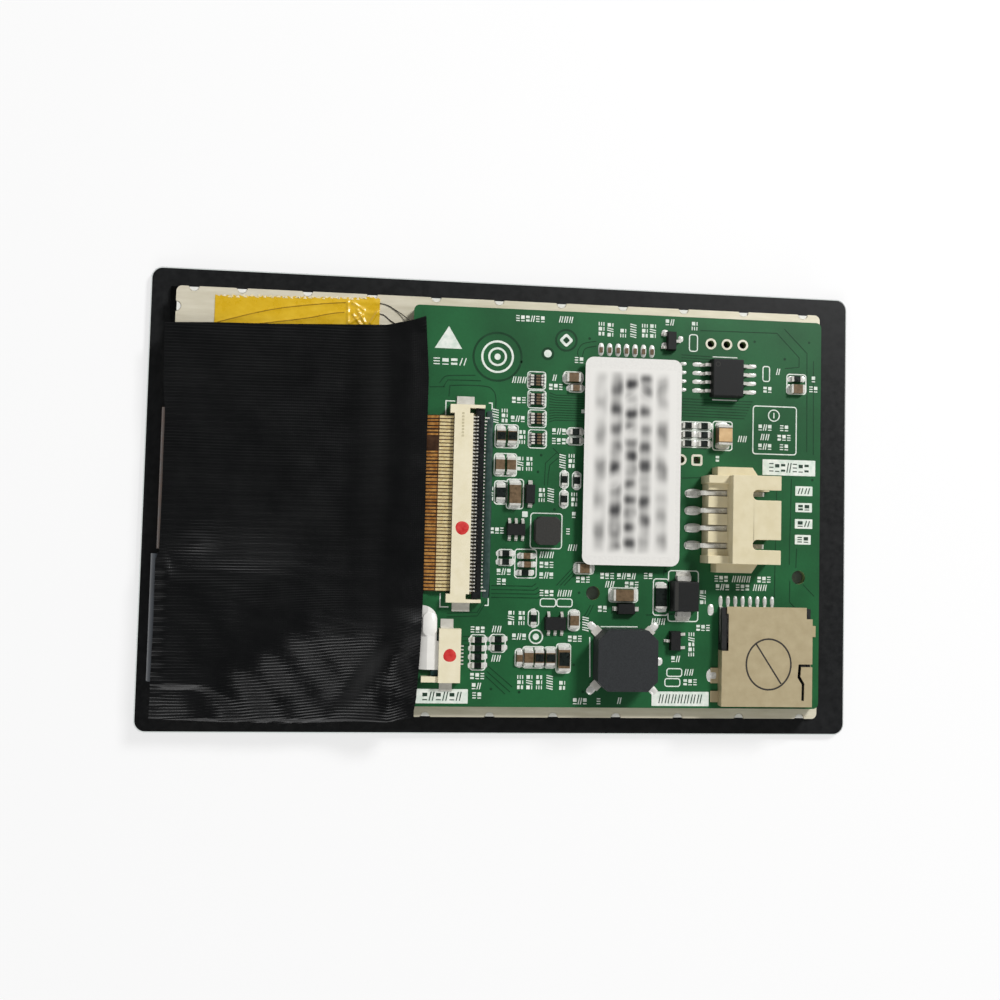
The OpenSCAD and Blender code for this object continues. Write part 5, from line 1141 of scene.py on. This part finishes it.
class DISPLAY_OT_chips(bpy.types.Operator):
    """Finishes the chips and small parts and prints the label"""

    bl_idname = "display.chips"
    bl_label = "Chips and label"

    def execute(self, context):
        give("epoxy", "controller_chip", "frame_memory_chip", "flash_chip", "small_chips", "power_diode",
             "signal_diodes")
        give("tin", "chip_leads", "diode_leads", "chip_ends")
        give("nail", "buzzer_tabs")
        give("resistor", "chip_resistors", "resistor_networks")
        give("ceramic", "chip_capacitors")
        give("ferrite", "inductor")
        give("buzzer", "buzzer")
        give("label", "label")
        soften(0.1, "flash_chip", "power_diode", "inductor")
        soften(0.25, "buzzer")
        self.print_label()
        self.add_networks()
        self.add_dimples()
        return {"FINISHED"}

    def print_label(self):
        """One thin plate over the printed part of the label; its finish holds the faded columns."""
        corner = np.array([[-6.4, -13.4], [6.4, -13.4], [6.4, 13.4], [-6.4, 13.4]])
        plates = [plate(corner + LABEL_AT, LABEL_TOP - 0.01, LABEL_TOP + 0.012)]
        add_piece("label_print", plates, "soft_print")

    def add_networks(self):
        """Four rows on each resistor network: a pale end, a brown element and a second pale end.

        The row of pads at the top gets brown bars, and the big chips get their tan and dark faces.
        """
        low, high = BOARD_TOP + 0.5, BOARD_TOP + 0.53
        ends, bars = [], []
        for x, y in NETWORKS:
            for k in range(4):
                at = y + (k - 1.5) * 0.42
                ends += [plate(rounded_outline(w, 0.3, 0.1) + [x + c, at], low, high)
                         for c, w in ((-0.68, 0.52), (0.78, 0.3))]
                bars.append(plate(rounded_outline(0.62, 0.26, 0.08) + [x + 0.2, at], low, high))
        bars += [plate(rounded_outline(0.5, 0.8, 0.1) + [12.7 + 1.25 * k, 22.8], BOARD_TOP + 0.1, BOARD_TOP + 0.22)
                 for k in range(7)]
        face = plate(rounded_outline(1.95, 1.9, 0.1) + [30.9, 10.95], BOARD_TOP + 1.69, BOARD_TOP + 1.72)
        glazes = [plate(rounded_outline(1.2, 1.1, 0.05) + spot, BOARD_TOP + 0.89, BOARD_TOP + 0.92)
                  for spot in ([-1.55, 9.85], [0.05, 9.85], [4.6, -21.4], [6.2, -21.4])]
        glazes.append(plate(rounded_outline(1.5, 1.9, 0.05) + [8.1, -21.5], BOARD_TOP + 1.19, BOARD_TOP + 1.22))
        add_piece("dark_glaze", glazes, "resistor")
        add_piece("network_ends", ends, "nail")
        add_piece("network_bars", bars, "ceramic")
        add_piece("capacitor_face", [face], "light_ceramic")

    def add_dimples(self):
        """Moulded marks: a shallow ring at the first pin of the flash chip and a band on the power diode."""
        tall = 0.07
        parts = [ribbon(circle(0.32, 16, (29.6, 21.2)), 0.12, FLASH_TOP, FLASH_TOP + tall, True)]
        parts.append(plate(rounded_outline(0.5, 4.0, 0.1) + [23.9, -12.4], DIODE_TOP, DIODE_TOP + tall))
        add_piece("moulded_marks", parts, "ferrite")


class DISPLAY_OT_flex_connectors(bpy.types.Operator):
    """Finishes both flex connectors, their locks and their red dots"""

    bl_idname = "display.flex_connectors"
    bl_label = "Flex connectors"

    def execute(self, context):
        give("cream", "display_connector_housing", "touch_connector_housing")
        give("latch", "display_connector_latch")
        give("slider", "touch_connector_slider")
        give("tin", "display_connector_contacts", "touch_connector_contacts")
        give("nail", "connector_nails")
        radius = context.scene.display_print.dot_diameter / 2
        dots = [placed(self.drop(radius), (-6.86, -3.37)), placed(self.drop(radius * 0.95), (-8.14, -21.14), 70)]
        add_piece("red_dots", dots, "red", smooth=60)
        # A slate bead over the contact feet, partly painted shade of the feet beside the latch
        bead = placed(pillow(1.1, 26.6, BOARD_TOP, BOARD_TOP + 0.34, 8, 0.02), (-3.2, 0.1))
        add_piece("foot_shade_bead", [bead], "bead", smooth=60)
        ear = plate(rounded_outline(1.9, 3.4, 0.9, 8) + [-11.0, -16.9], 6.9, 7.12, 0.08)
        add_piece("flex_ear", [ear], "touch_flex", smooth=60)
        marks = [plate(rounded_outline(0.34, 0.3, 0.06, 2) + [-7.1, 9.6 + 0.45 * k], ROOF_TOP, ROOF_TOP + 0.012)
                 for k in range(8)]
        add_piece("roof_marks", marks, "cream_shade")
        return {"FINISHED"}

    def drop(self, radius):
        """A disc of paint: its rim stands up a little, and a slow spiral runs round its middle."""
        r, a = np.meshgrid(np.linspace(0.12, 1.0, 9), round_angles(32), indexing="ij")
        rim = 1 + 0.03 * np.sin(3 * a + 0.5)
        z = ROOF_TOP + 0.05 * (1 - r ** 6) + 0.02 * np.sin(6.0 * r + a) * (1 - r)
        wide = radius * r * rim
        return loft(np.stack([wide * np.cos(a), wide * np.sin(a), z], 2), inside_out=True)


class DISPLAY_OT_header(bpy.types.Operator):
    """Finishes the wire header"""

    bl_idname = "display.header"
    bl_label = "Wire header"

    def execute(self, context):
        give("tan", "header_housing")
        give("tin", "header_pins")
        soften(0.12, "header_housing")
        return {"FINISHED"}


class DISPLAY_OT_card_socket(bpy.types.Operator):
    """Finishes the card socket and stamps its shell"""

    bl_idname = "display.card_socket"
    bl_label = "Card socket"

    def execute(self, context):
        give("socket_base", "card_socket_base", "card_slider")
        give("shell", "card_socket_shell")
        give("tin", "card_socket_contacts")
        give("spring", "card_spring")
        self.add_spring()
        low, high = SHELL_TOP, SHELL_TOP + 0.015
        ring = ribbon(circle(1.0, 72) * [3.3, 3.6] + [37.6, -21.85], 0.24, low, high, True)
        stroke = ribbon([(35.75, -19.0), (39.45, -24.6)], 0.22, low, high)
        add_piece("shell_stamp", [ring, stroke], "stamp")
        return {"FINISHED"}

    def add_spring(self):
        """The eject spring, drawn as a coil that fills the imported spring's box; in the socket the slide presses it
        towards its rear end.
        """
        low, high = (np.array(corner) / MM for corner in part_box("card_spring"))
        spring = add_piece("eject_coil", [self.coil(low, high, 7, 0.07)], "spring", smooth=60)
        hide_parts("card_spring")
        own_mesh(spring)

    def coil(self, low, high, turns, wire):
        """A coil along Y that fills a box: the wire's circle, carried round the box's middle at an even pitch."""
        middle = (low + high) / 2
        turn = np.linspace(0.0, 2 * math.pi * turns, 24 * turns + 1)[:, None]
        section = round_angles(10)[None]
        reach = (high[0] - low[0]) / 2 - wire + wire * np.cos(section)
        along = low[1] + wire + (high[1] - low[1] - 2 * wire) * turn / turn[-1]
        return loft(np.stack([middle[0] + reach * np.cos(turn), along + wire * np.sin(section),
                              middle[2] + reach * np.sin(turn)], 2))


class DISPLAY_PT_panel(bpy.types.Panel):
    """Lists the steps and the settings"""

    bl_idname = "DISPLAY_PT_panel"
    bl_label = "Display Module"
    bl_space_type = "VIEW_3D"
    bl_region_type = "UI"
    bl_category = "Display"

    def draw(self, context):
        for name in GROUPS:
            group = getattr(context.scene, name)
            for key in group.__annotations__:
                self.layout.prop(group, key)
        for step in STEPS:
            self.layout.operator(step.bl_idname)


GROUPS = {
    "display_stage": DisplayStageSettings,
    "display_finish": DisplayFinishSettings,
    "display_cloth": DisplayClothSettings,
    "display_print": DisplayPrintSettings,
}
STEPS = (
    DISPLAY_OT_stage,
    DISPLAY_OT_finishes,
    DISPLAY_OT_front,
    DISPLAY_OT_amber_tape,
    DISPLAY_OT_cloth_tape,
    DISPLAY_OT_flex,
    DISPLAY_OT_board,
    DISPLAY_OT_solder,
    DISPLAY_OT_chips,
    DISPLAY_OT_flex_connectors,
    DISPLAY_OT_header,
    DISPLAY_OT_card_socket,
)


def register():
    for kind in (*GROUPS.values(), *STEPS, DISPLAY_PT_panel):
        bpy.utils.register_class(kind)
    for name, group in GROUPS.items():
        setattr(bpy.types.Scene, name, PointerProperty(type=group))


def unregister():
    for name in GROUPS:
        delattr(bpy.types.Scene, name)
    for kind in (DISPLAY_PT_panel, *reversed(STEPS), *reversed(GROUPS.values())):
        bpy.utils.unregister_class(kind)


def main():
    register()
    for step in STEPS:
        group, name = step.bl_idname.split(".")
        getattr(getattr(bpy.ops, group), name)()
    bpy.context.view_layer.update()


if __name__ == "__main__":
    main()
